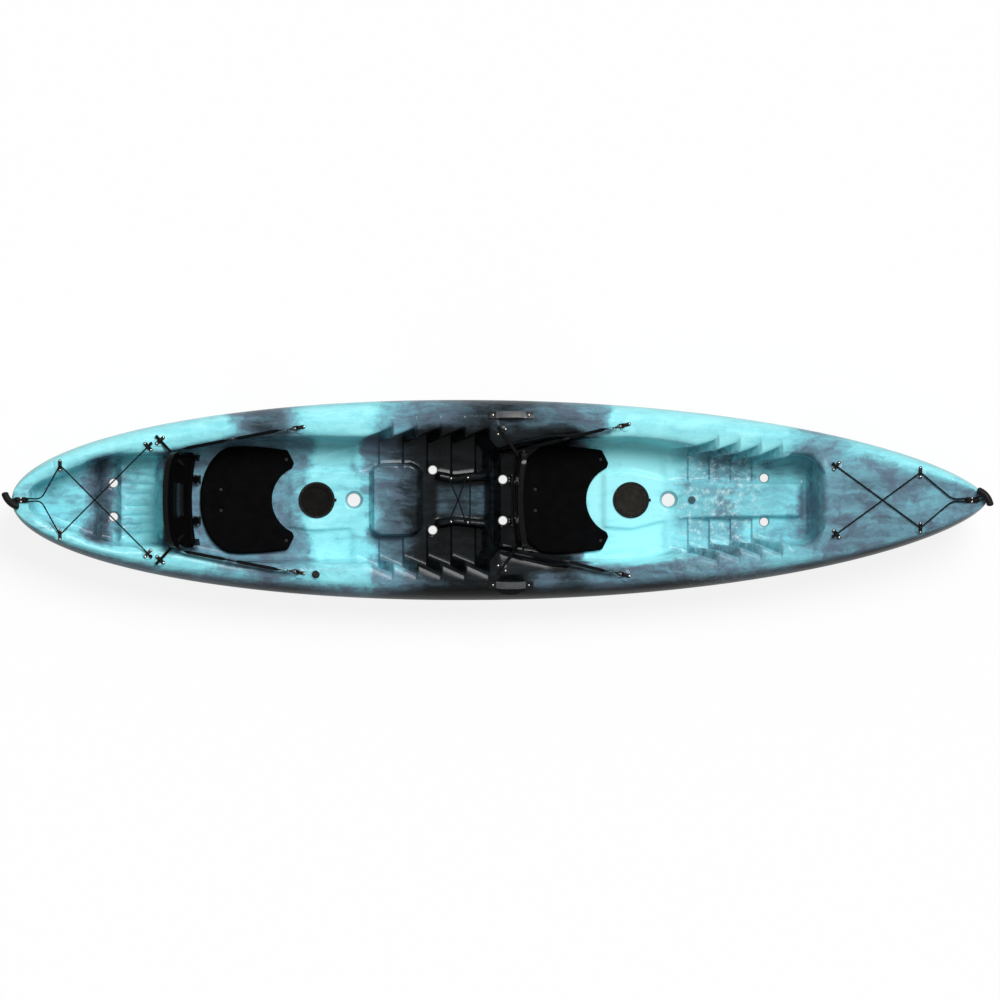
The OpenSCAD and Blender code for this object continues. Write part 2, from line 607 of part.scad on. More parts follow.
// Seat straps: webbing looped round the lug at one end and the hook's eye at the other
fold_r = 3.3;
module seat_strap(seat) {
  p = lug(seat);
  a = seat[2];
  length = norm([p[0] - a[0], p[1] - a[1]]) - hook_run;
  translate([p[0], p[1], strap_z(seat) - strap_width / 2]) rotate(strap_turn(seat) + 180)
    linear_extrude(strap_width) {
    for (end = [0, length]) translate([end, 0]) difference() {
      circle(r = fold_r + strap_thickness, $fn = 48);
      circle(r = fold_r, $fn = 48);
    }
    translate([0, fold_r]) square([length, strap_thickness]);
    for (end = [4, length - 44]) translate([end, -fold_r - strap_thickness])
      square([40, strap_thickness]);
    for (end = [0, length]) translate([end + (end > 0 ? -46 : 36), -fold_r - strap_thickness])
      square([10, 2 * fold_r + strap_thickness + 1]);
  }
}
adjuster_share = 0.48;
module strap_adjuster(seat) {
  p = lug(seat);
  a = seat[2];
  length = norm([p[0] - a[0], p[1] - a[1]]) - hook_run;
  height = strap_width + 10;
  translate([p[0], p[1], strap_z(seat)]) rotate(strap_turn(seat) + 180)
    translate([length * adjuster_share, fold_r + strap_thickness / 2, 0]) difference() {
      cube([30, 9, height], center = true);
      cube([32, strap_thickness + 2 * clearance, strap_width + 2 * clearance], center = true);
      for (bar = [-7, 7]) translate([bar, 5, 0]) cube([7, 10, strap_width], center = true);
    }
}
// Snap hook: a sprung ring through the deck loop, a swivel barrel and an eye for the webbing
module strap_hook(seat) {
  a = seat[2];
  translate([a[0], a[1], anchor_z(a) + cord_rise]) rotate(strap_turn(seat)) {
    translate([hook_start, 0, 0]) rotate([0, -hook_tilt, 0]) {
      translate([13, 0, -2]) linear_extrude(4) difference() {
        stadium(36, 20);
        stadium(28, 12);
      }
      translate([30, 0, 0]) rotate([0, 90, 0])
        cylinder(r = 4.5, h = hook_arm / cos(hook_tilt) - 28, $fn = 36);
    }
    translate([hook_start + hook_arm, 0, hook_rise]) rotate([90, 0, 0])
      linear_extrude(4, center = true) difference() {
      translate([0, -strap_width / 2 - 4]) square([eye_length, strap_width + 8]);
      translate([4, -strap_width / 2 - 1]) square([eye_length - 8, strap_width + 2]);
    }
  }
}
// Aft strap: a short webbing stay from the slot in the wing to the deck loop behind
module aft_strap(seat) {
  p = slot_place(seat);
  a = seat[3];
  length = norm([p[0] - a[0], p[1] - a[1]]);
  translate([p[0], p[1], aft_strap_z(seat)]) rotate(aft_turn(seat)) {
    tail = stay_tail(seat);
    translate([-tail, -aft_strap_width / 2, -strap_thickness / 2])
      cube([tail + length + 16, aft_strap_width, strap_thickness]);
    translate([-tail - 14, -aft_strap_width / 2, -3]) cube([14, aft_strap_width, 6]);
    translate([length + 16, -aft_strap_width / 2, -3]) cube([12, aft_strap_width, 6]);
  }
}

// Hatches: a ring screwed to the hull, a sealing ring and a turned cover
hatch_hole_r = hatch_bore_r + 4.5;
hatch_seat_r = hatch_bore_r + 9.5;
hatch_seat_z = hatch_flange / 2;
seal_r = 1.8;
cover_gap = 2 * seal_r + 2 * clearance;
hatch_screw_r = (hatch_ring_r + hatch_seat_r) / 2 - 0.5;
hatch_screws = 6;
hatch_z = floor_height + platform_rise;
module at_hatch(seat) translate([seat[0] + hatch_offset, 0, hatch_z]) children();
module hatch_ring(seat) at_hatch(seat) difference() {
  union() {
    rotate_extrude($fn = 96) polygon([
      [hatch_bore_r, -18], [hatch_hole_r - clearance, -18], [hatch_hole_r - clearance, 0],
        [hatch_ring_r, 0],
      [hatch_ring_r, hatch_flange - 3], [hatch_ring_r - 2, hatch_flange], [hatch_seat_r, hatch_flange],
      [hatch_seat_r, hatch_seat_z], [hatch_bore_r, hatch_seat_z]
    ]);
    translate([hatch_ring_r - 2, -6, 0]) cube([9, 12, 4]);
  }
  hatch_fasteners() screw_hole();
}
module hatch_fasteners() for (i = [0:hatch_screws - 1]) rotate(30 + i * 360 / hatch_screws)
  translate([hatch_screw_r, 0, hatch_flange]) children();
module hatch_seal(seat) at_hatch(seat) translate([0, 0, hatch_seat_z + seal_r + clearance / 2])
  rotate_extrude($fn = 96) translate([hatch_bore_r + 4, 0]) circle(r = seal_r, $fn = 24);
cover_thick = 4;
grip_notches = 4;
module hatch_cover(seat) at_hatch(seat) translate([0, 0, hatch_seat_z + cover_gap]) difference() {
  edge = hatch_seat_r - 1;
  skirt = hatch_bore_r - 0.8;
  rotate_extrude($fn = 96) polygon([
    [0, -2], [0, 2], [edge - 14, 2], [edge - 12, cover_thick], [edge - 1.5, cover_thick],
      [edge, cover_thick - 1.5],
    [edge, 0], [skirt, 0], [skirt, -14], [skirt - 3, -14], [skirt - 3, -2]
  ]);
  for (i = [0:grip_notches - 1]) rotate(45 + i * 360 / grip_notches)
    translate([edge - 6, 0, cover_thick + 4])
    rotate([0, 90, 0]) cylinder(r = 6, h = 14, center = true, $fn = 36);
}

// Drain bung and deck plug
drain_place = [rear_seat_x + 485, -312, 0];
drain_flange_r = 16.5;
drain_barrel_r = 10;
drain_bore_r = 7.5;
module drain_housing() color("black") on_deck(drain_place) rotate_extrude($fn = 64) polygon([
  [drain_bore_r, -18], [drain_barrel_r, -18], [drain_barrel_r, 0], [drain_flange_r, 0],
    [drain_flange_r, 2],
  [drain_flange_r - 1.5, 3], [drain_bore_r, 3]
]);
module drain_seal() color("dimgray") on_deck(drain_place) translate([0, 0, 3 + 1.2 + clearance / 2])
  rotate_extrude($fn = 64)
  translate([drain_bore_r + 2, 0]) circle(r = 1.2, $fn = 20);
module drain_plug() color("black") on_deck(drain_place) translate([0, 0, 3 + 2.4 + clearance])
  difference() {
  rotate_extrude($fn = 64) polygon([
    [0, -16], [drain_bore_r - 0.5, -16], [drain_bore_r - 0.5, 0], [12, 0], [12, 3.5], [11, 4.5],
      [0, 4.5]
  ]);
  translate([-9, -1.5, 2]) cube([18, 3, 5]);
}
plug_place = [front_seat_x + 744, 0, 0];
plug_r = 16;
plug_barrel_r = 10;
module deck_plug() color("black") on_deck(plug_place) difference() {
  rotate_extrude($fn = 64) polygon([
    [0, -14], [plug_barrel_r - 1, -14], [plug_barrel_r, -12], [plug_barrel_r, 0], [plug_r, 0],
      [plug_r, 2], [plug_r - 2, 4], [0, 4]
  ]);
  for (turn = [0, 90]) rotate(turn) translate([-8, -1.5, 2]) cube([16, 3, 4]);
}

// A round cord along a path of points, each [x, y, z, radius]
module cord(path, n = 8) {
  m = len(path);
  p = [for (q = path) [q[0], q[1], q[2]]];
  rings = [for (i = [0:m - 1])
    let (t = unit(p[min(i + 1, m - 1)] - p[max(i - 1, 0)]), side = unit(cross(t, [0, 0, 1])),
      up = cross(side, t))
    [for (k = [0:n - 1]) let (a = 360 * k / n) p[i] + path[i][3] * (cos(a) * side + sin(a) * up)]];
  skin = [for (j = [0:m - 2], i = [0:n - 1]) let (a = j * n + i, b = j * n + (i + 1) % n)
    each [[a, b, b + n], [a, b + n, a + n]]];
  polyhedron([for (r = rings) each r],
    concat(skin, [[for (i = [n - 1:-1:0]) i]], [[for (i = [0:n - 1]) (m - 1) * n + i]]), convexity = 6);
}
lashing_r = lashing_d / 2;
function bend(a, b, c, r, n) = let (u = unit(a - b), w = unit(c - b))
  [for (i = [0:n]) let (t = i / n) (1 - t) * (1 - t) * (b + r * u) + 2 * t * (1 - t) * b
    + t * t * (b + r * w)];
function thick(points, r) = [for (p = points) [p[0], p[1], p[2], r]];
// A knot: the cord swells where it is tied, past the eye at p, coming from q
function knot(p, q) = let (u = unit([p[0] - q[0], p[1] - q[1]])) [
  for (k = [[22, 2], [20, 2.2], [13, 2.2], [10, 1]])
    let (x = p[0] + k[0] * u[0], y = p[1] + k[0] * u[1])
    [x, y, k[1] > 1 ? max(p[2], deck_z(x, abs(y)) + seat_rise + 1 + k[1] * lashing_r) : p[2],
      k[1] * lashing_r]
];
function reversed(v) = [for (i = [len(v) - 1:-1:0]) v[i]];
function loop_point(place, side) =
  [place[0], side * place[1], deck_z(place[0], place[1]) + seat_rise + cord_rise];
// A crossed lashing: two eyes at each end, meeting in a doubled run that hooks on the end eye
module crossed_lashing(outer, inner, apex_x, eye_x, cross_z) {
  way = eye_x > 0 ? 1 : -1;
  strand_gap = 7;
  end = [eye_x, 0, deck_z(eye_x, 0) + seat_rise + cord_rise + 0.8];
  apex_z = deck_z(apex_x, crest_y(apex_x) * 0.8) + 9;
  half = function(side, lift)
    let (
      a = loop_point(outer, side),
      b = loop_point(inner, -side),
      c = [apex_x, -side * (lashing_r + 0.4), apex_z],
      d = end + [-way * strand_gap, -side * strand_gap, 0],
      t = a[1] / (a[1] - b[1]),
      x = [mix(a[0], b[0], t), 0, cross_z + lift]
    )
    concat(knot(a, b), thick(concat([a, x], bend(x, b, c, 7, 4), bend(b, c, d, 25, 3)), lashing_r));
  turn = [for (a = [-90:30:90]) [end[0] + way * strand_gap * (cos(a) - 1), strand_gap * sin(a), end[2],
    lashing_r]];
  first = half(1, 0);
  second = half(-1, lashing_d + 1);
  cord(concat(first, turn, reversed(second)));
}
bow_cross_x = mix(bow_aft_loop[0], bow_fore_loop[0],
  bow_aft_loop[1] / (bow_aft_loop[1] + bow_fore_loop[1]));
stern_cross_x = mix(stern_fore_loop[0], stern_aft_loop[0],
  stern_fore_loop[1] / (stern_fore_loop[1] + stern_aft_loop[1]));

// End eyes: a screwed plate with one arch for the lashing and one for the carry toggle
eye_spread = 14;
eye_plate = [62, 24];
bow_eye_place = [bow_x - 65, 0, 0];
stern_eye_place = [stern_x + 39, 0, 180];
bow_lash_x = bow_eye_place[0] - eye_spread;
stern_lash_x = stern_eye_place[0] + eye_spread;
module end_eye() {
  difference() {
    linear_extrude(loop_base) stadium(eye_plate[0], eye_plate[1]);
    eye_fasteners() screw_hole();
  }
  for (side = [-1, 1]) translate([side * eye_spread, 0, 0]) loop_arch();
}
module eye_fasteners() for (side = [-1, 1]) translate([0, side * 7.5, loop_base]) children();

// Carry toggles: a curved rubber grip on a short loop of cord through the end eye
toggle_cord_r = 2.5;
toggle_loop_r = 8;
toggle_lift = 8;
toggle_tilt = 15;
toggle_bend_r = 75;
// A toggle is [eye place, run of its cord, swing of the cord off the centreline, turn of the grip]
bow_toggle_set = [bow_eye_place, 36, 20, 110];
stern_toggle_set = [stern_eye_place, 21, 12, 124];
module at_toggle(set) {
  place = set[0];
  way = place[2] == 0 ? 1 : -1;
  x = place[0] + way * eye_spread;
  translate([x, 0, deck_z(x, 0) + seat_rise + cord_rise]) rotate(place[2] + set[2])
    rotate([0, -toggle_tilt, 0]) translate([toggle_loop_r, 0, 0]) children();
}
module toggle_cord(set, r) at_toggle(set) for (end = [0, 1]) {
  translate([end * set[1], 0, 0]) rotate(end * 180 + 90) rotate_extrude(angle = 180, $fn = 48)
    translate([toggle_loop_r, 0]) circle(r = r, $fn = 24);
  translate([0, (2 * end - 1) * toggle_loop_r, 0]) rotate([0, 90, 0])
    cylinder(r = r, h = set[1], $fn = 24);
}
// Rings of the grip, each [share of the half length, share of the half thickness]
grip_rings = [
  [-1, 0.3], [-0.97, 0.62], [-0.91, 0.86], [-0.8, 1], [-0.55, 0.97], [-0.28, 0.94], [0, 0.93],
  [0.28, 0.94], [0.55, 0.97], [0.8, 1], [0.91, 0.86], [0.97, 0.62], [1, 0.3]
];
module toggle_grip(set) difference() {
  half_angle = toggle_length / 2 / toggle_bend_r * 180 / PI;
  at_toggle(set) translate([set[1] + toggle_loop_r, 0, toggle_lift]) rotate(set[3] - 90)
    translate([-toggle_bend_r, 0, 0])
    cord([for (g = grip_rings) let (a = g[0] * half_angle)
      [toggle_bend_r * cos(a), toggle_bend_r * sin(a), 0, g[1] * toggle_d / 2]], 20);
  toggle_cord(set, toggle_cord_r + clearance);
}

// Centre lashing: an elastic cord round four buttons on the rails of the centre well
button_neck_r = 5;
button_cap_r = 9;
button_neck = 9;
button_aft_x = well_aft_x + 62;
button_fore_x = well_end_x - 92;
function rail_y(x) = let (h = section(x)) (h[2][1] + h[3][1]) / 2;
button_places = [for (x = [button_aft_x, button_fore_x], side = [-1, 1])
  [x, side * rail_y(x), rail_z(x)]];
module lashing_button() difference() {
  rotate_extrude($fn = 48) polygon([
    [0, 0], [button_cap_r - 2, 0], [button_cap_r - 2, 1.5], [button_neck_r, 2],
      [button_neck_r, button_neck],
    [button_cap_r, button_neck + 0.5], [button_cap_r, button_neck + 2],
      [button_cap_r - 1.5, button_neck + 3], [0, button_neck + 3]
  ]);
  translate([0, 0, button_neck + 1]) screw_hole();
}
wrap_r = button_neck_r + lashing_r + clearance;
module centre_lashing() {
  z = rail_z(button_fore_x) + 2 + lashing_r + 0.5;
  a = [button_aft_x, rail_y(button_aft_x)];
  b = [button_fore_x, rail_y(button_fore_x)];
  d = unit([b[0] - a[0], -b[1] - a[1]]);
  lead = atan2(-d[0], d[1]);
  half = function(side, lift) concat(
    [for (k = [[190, 1], [150, 1], [110, 1], [60, 1], [0, 1]]) let (t = lead + k[0])
      [a[0] + wrap_r * cos(t), side * (a[1] + wrap_r * sin(t)), z, lashing_r]],
    [[(a[0] + b[0]) / 2 - 6, 0, z + lift, lashing_r]],
    [for (t = [lead:25:345]) [b[0] + wrap_r * cos(t), side * (-b[1] + wrap_r * sin(t)), z, lashing_r]],
    [[b[0] + wrap_r, side * -b[1], z, lashing_r]]
  );
  color("black") cord(concat(half(1, -0.2), reversed(half(-1, lashing_d + 0.6))));
}

// Side carry handles: an arched strap screwed over a finger pocket in the gunwale
side_handle_x = front_seat_x - 14;
side_handle_y = 354;
side_handle_place = [side_handle_x, side_handle_y, 0];
side_handle_width = 29;
side_handle_thick = 6;
side_handle_arch = 9;
side_handle_screw = side_handle_length / 2 - 19;
handle_flat = 30;
handle_seat = 1;
function handle_rise(x) = side_handle_arch * ease(side_handle_screw - 8, handle_flat, abs(x));
module side_handle() translate([0, 0, handle_seat]) difference() {
  rotate([90, 0, 0]) linear_extrude(side_handle_width, center = true) {
    half = side_handle_length / 2;
    steps = [for (i = [-12:12]) i * half / 12];
    polygon(concat([for (x = steps) [x, handle_rise(x)]],
      [for (x = reversed(steps)) [x, handle_rise(x) + side_handle_thick]]));
  }
  handle_fasteners() screw_hole();
}
module handle_fasteners() for (side = [-1, 1])
  translate([side * side_handle_screw, 0, side_handle_thick]) children();
pocket_length = 136;
finger_depth = 26;
finger_r = (pow(pocket_length / 2, 2) + pow(finger_depth, 2)) / (2 * finger_depth);
module finger_pocket(extra) translate([0, -40 - extra, finger_r - finger_depth]) rotate([-90, 0, 0])
  cylinder(r = finger_r + extra, h = 120 + extra, $fn = 48);

// Scuppers: self-draining tubes moulded through the hull, each [place along, place across, bore]
scuppers = concat(
  [[rear_seat_x + main_scupper_offset, 0, main_scupper_r],
    [front_seat_x + main_scupper_offset, 0, main_scupper_r]],
  [for (p = [[trough_x + 20, 71], [gutter_x + 19, 126], [front_seat_x - 48, 86],
    [front_foot_end + 52, 92]], side = [-1, 1])
    [p[0], side * p[1], scupper_r]]
);
all_loops = concat(bow_loops, stern_loops, seat_loops(rear_seat), seat_loops(front_seat));
// The moulding: the outer skin with flat seats for its fittings, hollowed out round the tubes and pockets
seat_depth = 10;
module fitting_seats() {
  for (p = all_loops) on_deck(p) translate([0, 0, -seat_depth])
    cylinder(r = loop_seat_r, h = seat_depth, $fn = 12);
  for (p = [bow_eye_place, stern_eye_place]) on_deck(p)
    translate([-eye_plate[0] / 2 - 1, -eye_plate[1] / 2 - 1, -seat_depth])
    cube([eye_plate[0] + 2, eye_plate[1] + 2, seat_depth]);
  for (p = [drain_place, plug_place]) on_deck(p) translate([0, 0, -seat_depth])
    cylinder(r = drain_flange_r + 4, h = seat_depth, $fn = 16);
}
module handle_seats() for (p = both_sides(side_handle_place), side = [-1, 1]) on_deck(p)
  translate([side * side_handle_screw, 0, handle_seat - seat_depth])
    cylinder(r = side_handle_width / 2 + 3, h = seat_depth, $fn = 12);
module moulding() difference() {
  union() {
    hull_skin();
    fitting_seats();
    handle_seats();
  }
  difference() {
    hull_hollow();
    for (s = scuppers) translate([s[0], s[1], -1]) cylinder(r = s[2] + scupper_wall, h = 260, $fn = 12);
    for (p = both_sides(side_handle_place)) on_deck(p) finger_pocket(wall + 1);
  }
  for (p = both_sides(side_handle_place)) on_deck(p) finger_pocket(0);
  for (seat = [rear_seat, front_seat]) at_hatch(seat) translate([0, 0, -25])
    cylinder(r = hatch_bore_r / 2, h = 50, $fn = 12);
}
module hull() color("turquoise") difference() {
  resize([hull_length, 0, 0]) moulding();
  for (s = scuppers) translate([s[0], s[1], -5]) cylinder(r = s[2], h = 260, $fn = 36);
  for (seat = [rear_seat, front_seat]) at_hatch(seat) translate([0, 0, -25])
    cylinder(r = hatch_hole_r, h = 50, $fn = 96);
  on_deck(drain_place) translate([0, 0, -30])
    cylinder(r = drain_barrel_r + clearance, h = 60, $fn = 48);
  on_deck(plug_place) translate([0, 0, -30]) cylinder(r = plug_barrel_r + clearance, h = 60, $fn = 48);
}

module rear_hatch_ring() color("dimgray") hatch_ring(rear_seat);
module front_hatch_ring() color("dimgray") hatch_ring(front_seat);
module hatch_ring_screws() color("silver") for (seat = [rear_seat, front_seat]) at_hatch(seat)
  hatch_fasteners() screw();
module rear_hatch_seal() color("black") hatch_seal(rear_seat);
module front_hatch_seal() color("black") hatch_seal(front_seat);
module rear_hatch_cover() color("dimgray") hatch_cover(rear_seat);
module front_hatch_cover() color("dimgray") hatch_cover(front_seat);
module rear_seat_pad() color("black") seat_pad(rear_seat);
module front_seat_pad() color("black") seat_pad(front_seat);
module seat_pad_rivets() color("silver") for (seat = [rear_seat, front_seat]) pad_rivets(seat);
module rear_backrest() color("black") backrest(rear_seat);
module front_backrest() color("black") backrest(front_seat);
module rear_hinge_brackets() color("black") hinge_brackets(rear_seat);
module front_hinge_brackets() color("black") hinge_brackets(front_seat);
module rear_hinge_pins() color("silver") hinge_pins(rear_seat);
module front_hinge_pins() color("silver") hinge_pins(front_seat);
module hinge_bracket_screws() color("silver") for (seat = [rear_seat, front_seat])
  bracket_fasteners(seat) screw();
module rear_strap_port() color("black") port_or_starboard(1) seat_strap(rear_seat);
module rear_strap_starboard() color("black") port_or_starboard(-1) seat_strap(rear_seat);
module front_strap_port() color("black") port_or_starboard(1) seat_strap(front_seat);
module front_strap_starboard() color("black") port_or_starboard(-1) seat_strap(front_seat);
module rear_stay_port() color("black") port_or_starboard(1) aft_strap(rear_seat);
module rear_stay_starboard() color("black") port_or_starboard(-1) aft_strap(rear_seat);
module front_stay_port() color("black") port_or_starboard(1) aft_strap(front_seat);
module front_stay_starboard() color("black") port_or_starboard(-1) aft_strap(front_seat);
module strap_adjusters() color("black") for (seat = [rear_seat, front_seat], side = [-1, 1])
  port_or_starboard(side) strap_adjuster(seat);
module strap_hooks() color("silver") for (seat = [rear_seat, front_seat], side = [-1, 1])
  port_or_starboard(side) strap_hook(seat);
module bow_deck_loops() color("black") for (p = bow_loops) on_deck(p) deck_loop();
module stern_deck_loops() color("black") for (p = stern_loops) on_deck(p) deck_loop();
module rear_seat_anchors() color("black") for (p = seat_loops(rear_seat)) on_deck(p) deck_loop();
module front_seat_anchors() color("black") for (p = seat_loops(front_seat)) on_deck(p) deck_loop();
module lashing_buttons() color("black") for (p = button_places) translate(p) lashing_button();
module deck_screws() color("silver") {
  for (p = all_loops, side = [-1, 1]) on_deck(p) translate([side * loop_screw_x, 0, loop_base]) screw();
  for (p = [bow_eye_place, stern_eye_place]) on_deck(p) eye_fasteners() screw();
  for (p = button_places) translate([p[0], p[1], p[2] + button_neck + 3]) screw();
}
module bow_lashing() color("black") 
  crossed_lashing(bow_aft_loop, bow_fore_loop, bow_apex_x, bow_lash_x, deck_crown(bow_cross_x) + 5);
module stern_lashing() color("black") 
  crossed_lashing(stern_fore_loop, stern_aft_loop, stern_apex_x, stern_lash_x, crest_z(stern_cross_x)
    + 6);
module side_handle_port() color("slategray") on_deck(side_handle_place) side_handle();
module side_handle_starboard() color("slategray") mirror([0, 1, 0]) on_deck(side_handle_place)
  side_handle();
module side_handle_screws() color("silver") for (side = [-1, 1]) port_or_starboard(side)
  on_deck(side_handle_place)
  translate([0, 0, handle_seat]) handle_fasteners() screw();
module bow_eye() color("black") on_deck(bow_eye_place) end_eye();
module stern_eye() color("black") on_deck(stern_eye_place) end_eye();
module bow_toggle_cord() color("black") toggle_cord(bow_toggle_set, toggle_cord_r);
module stern_toggle_cord() color("black") toggle_cord(stern_toggle_set, toggle_cord_r);
module bow_toggle() color("black") toggle_grip(bow_toggle_set);
module stern_toggle() color("black") toggle_grip(stern_toggle_set);

hull();
rear_hatch_ring();
front_hatch_ring();
hatch_ring_screws();
rear_hatch_seal();
front_hatch_seal();
rear_hatch_cover();
front_hatch_cover();
rear_seat_pad();
front_seat_pad();
seat_pad_rivets();
rear_backrest();
front_backrest();
rear_hinge_brackets();
front_hinge_brackets();
rear_hinge_pins();
front_hinge_pins();
hinge_bracket_screws();
rear_strap_port();
rear_strap_starboard();
front_strap_port();
front_strap_starboard();
rear_stay_port();
rear_stay_starboard();
front_stay_port();
front_stay_starboard();
strap_adjusters();
strap_hooks();
bow_deck_loops();
stern_deck_loops();
rear_seat_anchors();
front_seat_anchors();
lashing_buttons();
deck_screws();
bow_lashing();
stern_lashing();
centre_lashing();
side_handle_port();
side_handle_starboard();
side_handle_screws();
drain_housing();
drain_seal();
drain_plug();
deck_plug();
bow_eye();
stern_eye();
bow_toggle_cord();
stern_toggle_cord();
bow_toggle();
stern_toggle();
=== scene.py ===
from math import atan2, ceil, copysign, cos, degrees, exp, hypot, pi, radians, sin, sqrt, tan
import bpy
from mathutils import Matrix, Vector


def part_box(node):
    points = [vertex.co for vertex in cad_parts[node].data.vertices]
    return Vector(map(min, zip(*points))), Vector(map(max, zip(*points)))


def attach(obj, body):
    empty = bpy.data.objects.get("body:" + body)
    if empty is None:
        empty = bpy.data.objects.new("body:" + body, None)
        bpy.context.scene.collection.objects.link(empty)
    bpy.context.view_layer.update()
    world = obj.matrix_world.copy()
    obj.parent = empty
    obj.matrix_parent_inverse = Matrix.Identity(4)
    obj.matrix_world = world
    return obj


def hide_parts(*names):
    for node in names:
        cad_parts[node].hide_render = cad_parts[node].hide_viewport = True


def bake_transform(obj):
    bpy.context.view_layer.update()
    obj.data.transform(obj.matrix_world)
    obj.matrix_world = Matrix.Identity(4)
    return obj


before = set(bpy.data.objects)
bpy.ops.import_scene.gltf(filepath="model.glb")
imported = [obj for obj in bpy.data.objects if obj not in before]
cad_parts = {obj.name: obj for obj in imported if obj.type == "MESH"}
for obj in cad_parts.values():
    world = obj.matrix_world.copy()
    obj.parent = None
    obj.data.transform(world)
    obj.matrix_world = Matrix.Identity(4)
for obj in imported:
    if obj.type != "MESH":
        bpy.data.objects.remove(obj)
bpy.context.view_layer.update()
scene = bpy.context.scene
scene.view_settings.view_transform = "Standard"

# The studio: a plain pale floor, one broad soft lamp high off the port bow, which leaves the starboard
# flank and the heel steps in shade, and an even white surround. The camera hangs straight above the boat.
PHOTO_WIDTH, CAMERA_PLACE, FAR = 4.19, (0.002, 0, 6), 60
WHITE, SURROUND, MIRRORED_WHITE = (1, 1, 1, 1), 0.23, 0.4
LAMP_FROM, LAMP_AWAY, LAMP_SPREAD, LAMP_POWER = Vector((0.28, 0.44, 0.85)), 6, 28, 3.1
GROUND_SIZE, GROUND_LEVEL, GROUND_GLOW = 60, -0.002, 0.86
GROUND_LIT, GROUND_SEEN = (0.25, 0.25, 0.25, 1), (0.9, 0.9, 0.9, 1)
bpy.ops.object.camera_add(location=CAMERA_PLACE)
camera = bpy.context.object
camera.data.type = "ORTHO"
camera.data.ortho_scale = PHOTO_WIDTH
camera.data.clip_end = FAR
scene.camera = camera


def add(tree, kind, settings=None, **inputs):
    """Adds a node to a tree; an input is a value for its socket or another node's output."""
    n = tree.nodes.new("ShaderNode" + kind)
    for key, value in (settings or {}).items():
        setattr(n, key, value)
    for key, value in inputs.items():
        socket = n.inputs[int(key[1:])] if key[0] == "_" else n.inputs[key.replace("_", " ")]
        if isinstance(value, bpy.types.NodeSocket):
            tree.links.new(value, socket)
        else:
            socket.default_value = value
    return n


def maths(operation, *values):
    """What a Math node gives for its values, an output and then outputs or numbers."""
    inputs = {f"_{i}": value for i, value in enumerate(values)}
    return add(values[0].id_data, "Math", {"operation": operation}, **inputs).outputs[0]


def mixed(share, a, b):
    """Two colours mixed by an output."""
    return add(share.id_data, "MixRGB", Fac=share, Color1=a, Color2=b).outputs[0]


def seen_as_white(tree):
    """1 where the eye or a lens looks, less in a mirror, 0 for the light that falls on the boat."""
    rays = add(tree, "LightPath").outputs
    shine = maths("MULTIPLY", rays["Is Glossy Ray"], MIRRORED_WHITE)
    shine = maths("MAXIMUM", shine, rays["Is Transmission Ray"])
    return maths("MAXIMUM", rays["Is Camera Ray"], shine)


world = bpy.data.worlds.new("studio")
world.use_nodes = True
scene.world = world
wt = world.node_tree
wt.nodes.clear()
surround = add(wt, "Background", Color=WHITE, Strength=SURROUND)
white = add(wt, "Background", Color=WHITE, Strength=1.0)
both = add(wt, "MixShader", _0=seen_as_white(wt), _1=surround.outputs[0], _2=white.outputs[0])
wt.links.new(both.outputs[0], add(wt, "OutputWorld").inputs[0])

bpy.ops.object.light_add(type="SUN", location=LAMP_AWAY * LAMP_FROM)
lamp = bpy.context.object
lamp.rotation_euler = LAMP_FROM.to_track_quat("Z", "Y").to_euler()
lamp.data.angle = radians(LAMP_SPREAD)
lamp.data.energy = LAMP_POWER

bpy.ops.mesh.primitive_plane_add(size=GROUND_SIZE, location=(0, 0, GROUND_LEVEL))
floor = bpy.context.object
floor.name = "studio_floor"
paint = bpy.data.materials.new("studio_floor")
paint.use_nodes = True
ft = paint.node_tree
ft.nodes.clear()
seen = seen_as_white(ft)
matt = add(ft, "BsdfDiffuse", Color=mixed(seen, GROUND_LIT, GROUND_SEEN))
glow = add(ft, "Emission", Color=WHITE, Strength=1.0)
glowing = maths("MULTIPLY", seen, GROUND_GLOW)
ground = add(ft, "MixShader", _0=glowing, _1=matt.outputs[0], _2=glow.outputs[0])
ft.links.new(ground.outputs[0], add(ft, "OutputMaterial").inputs[0])
floor.data.materials.append(paint)

# The hull: one rotomoulded polyethylene shell, deck, cockpit, foot wells and scupper tubes in one piece.
# It is drawn as half sections along the boat, with every edge rounded as the mould leaves it, and then
# the hatch holes, the scuppers and the finger pockets are cut through it. Sizes here are in millimetres.
MM = 0.001
BOW, STERN, WIDEST = 2045, -2045, -165
BEAM, DECK, BOW_RISE, STERN_RISE, ROCKER, TUNNEL = 842, 305, 85, 45, 55, 16
FLOOR, TANK_FLOOR, HEEL, POCKET = 108, 152, 15, 44
REAR_SEAT, FRONT_SEAT = -1255, 62
SEATS = {"rear": REAR_SEAT, "front": FRONT_SEAT}
TANK_AFT, TANK_STEP, TROUGH = STERN + 70, STERN + 318, STERN + 408
TANK_FORE, BULKHEAD = REAR_SEAT - 185, REAR_SEAT - 155
REAR_FOOT, REAR_PITCH, REAR_SWEEP, REAR_RISERS = REAR_SEAT + 750, 101, 60, 5
FRONT_FOOT, FRONT_PITCH, FRONT_SWEEP, FRONT_RISERS = FRONT_SEAT + 727, 89, 130, 4
REAR_FOOT_END = REAR_FOOT + (REAR_RISERS - 1) * REAR_PITCH
FRONT_FOOT_END = FRONT_FOOT + (FRONT_RISERS - 1) * FRONT_PITCH
WELL_END, TOE_END = FRONT_SEAT - 102, FRONT_SEAT + 1310
THIRD_SEAT, THIRD_HALF = REAR_SEAT + 821, 103
GUTTER = THIRD_SEAT + THIRD_HALF + 32
WELL_AFT = GUTTER + 34
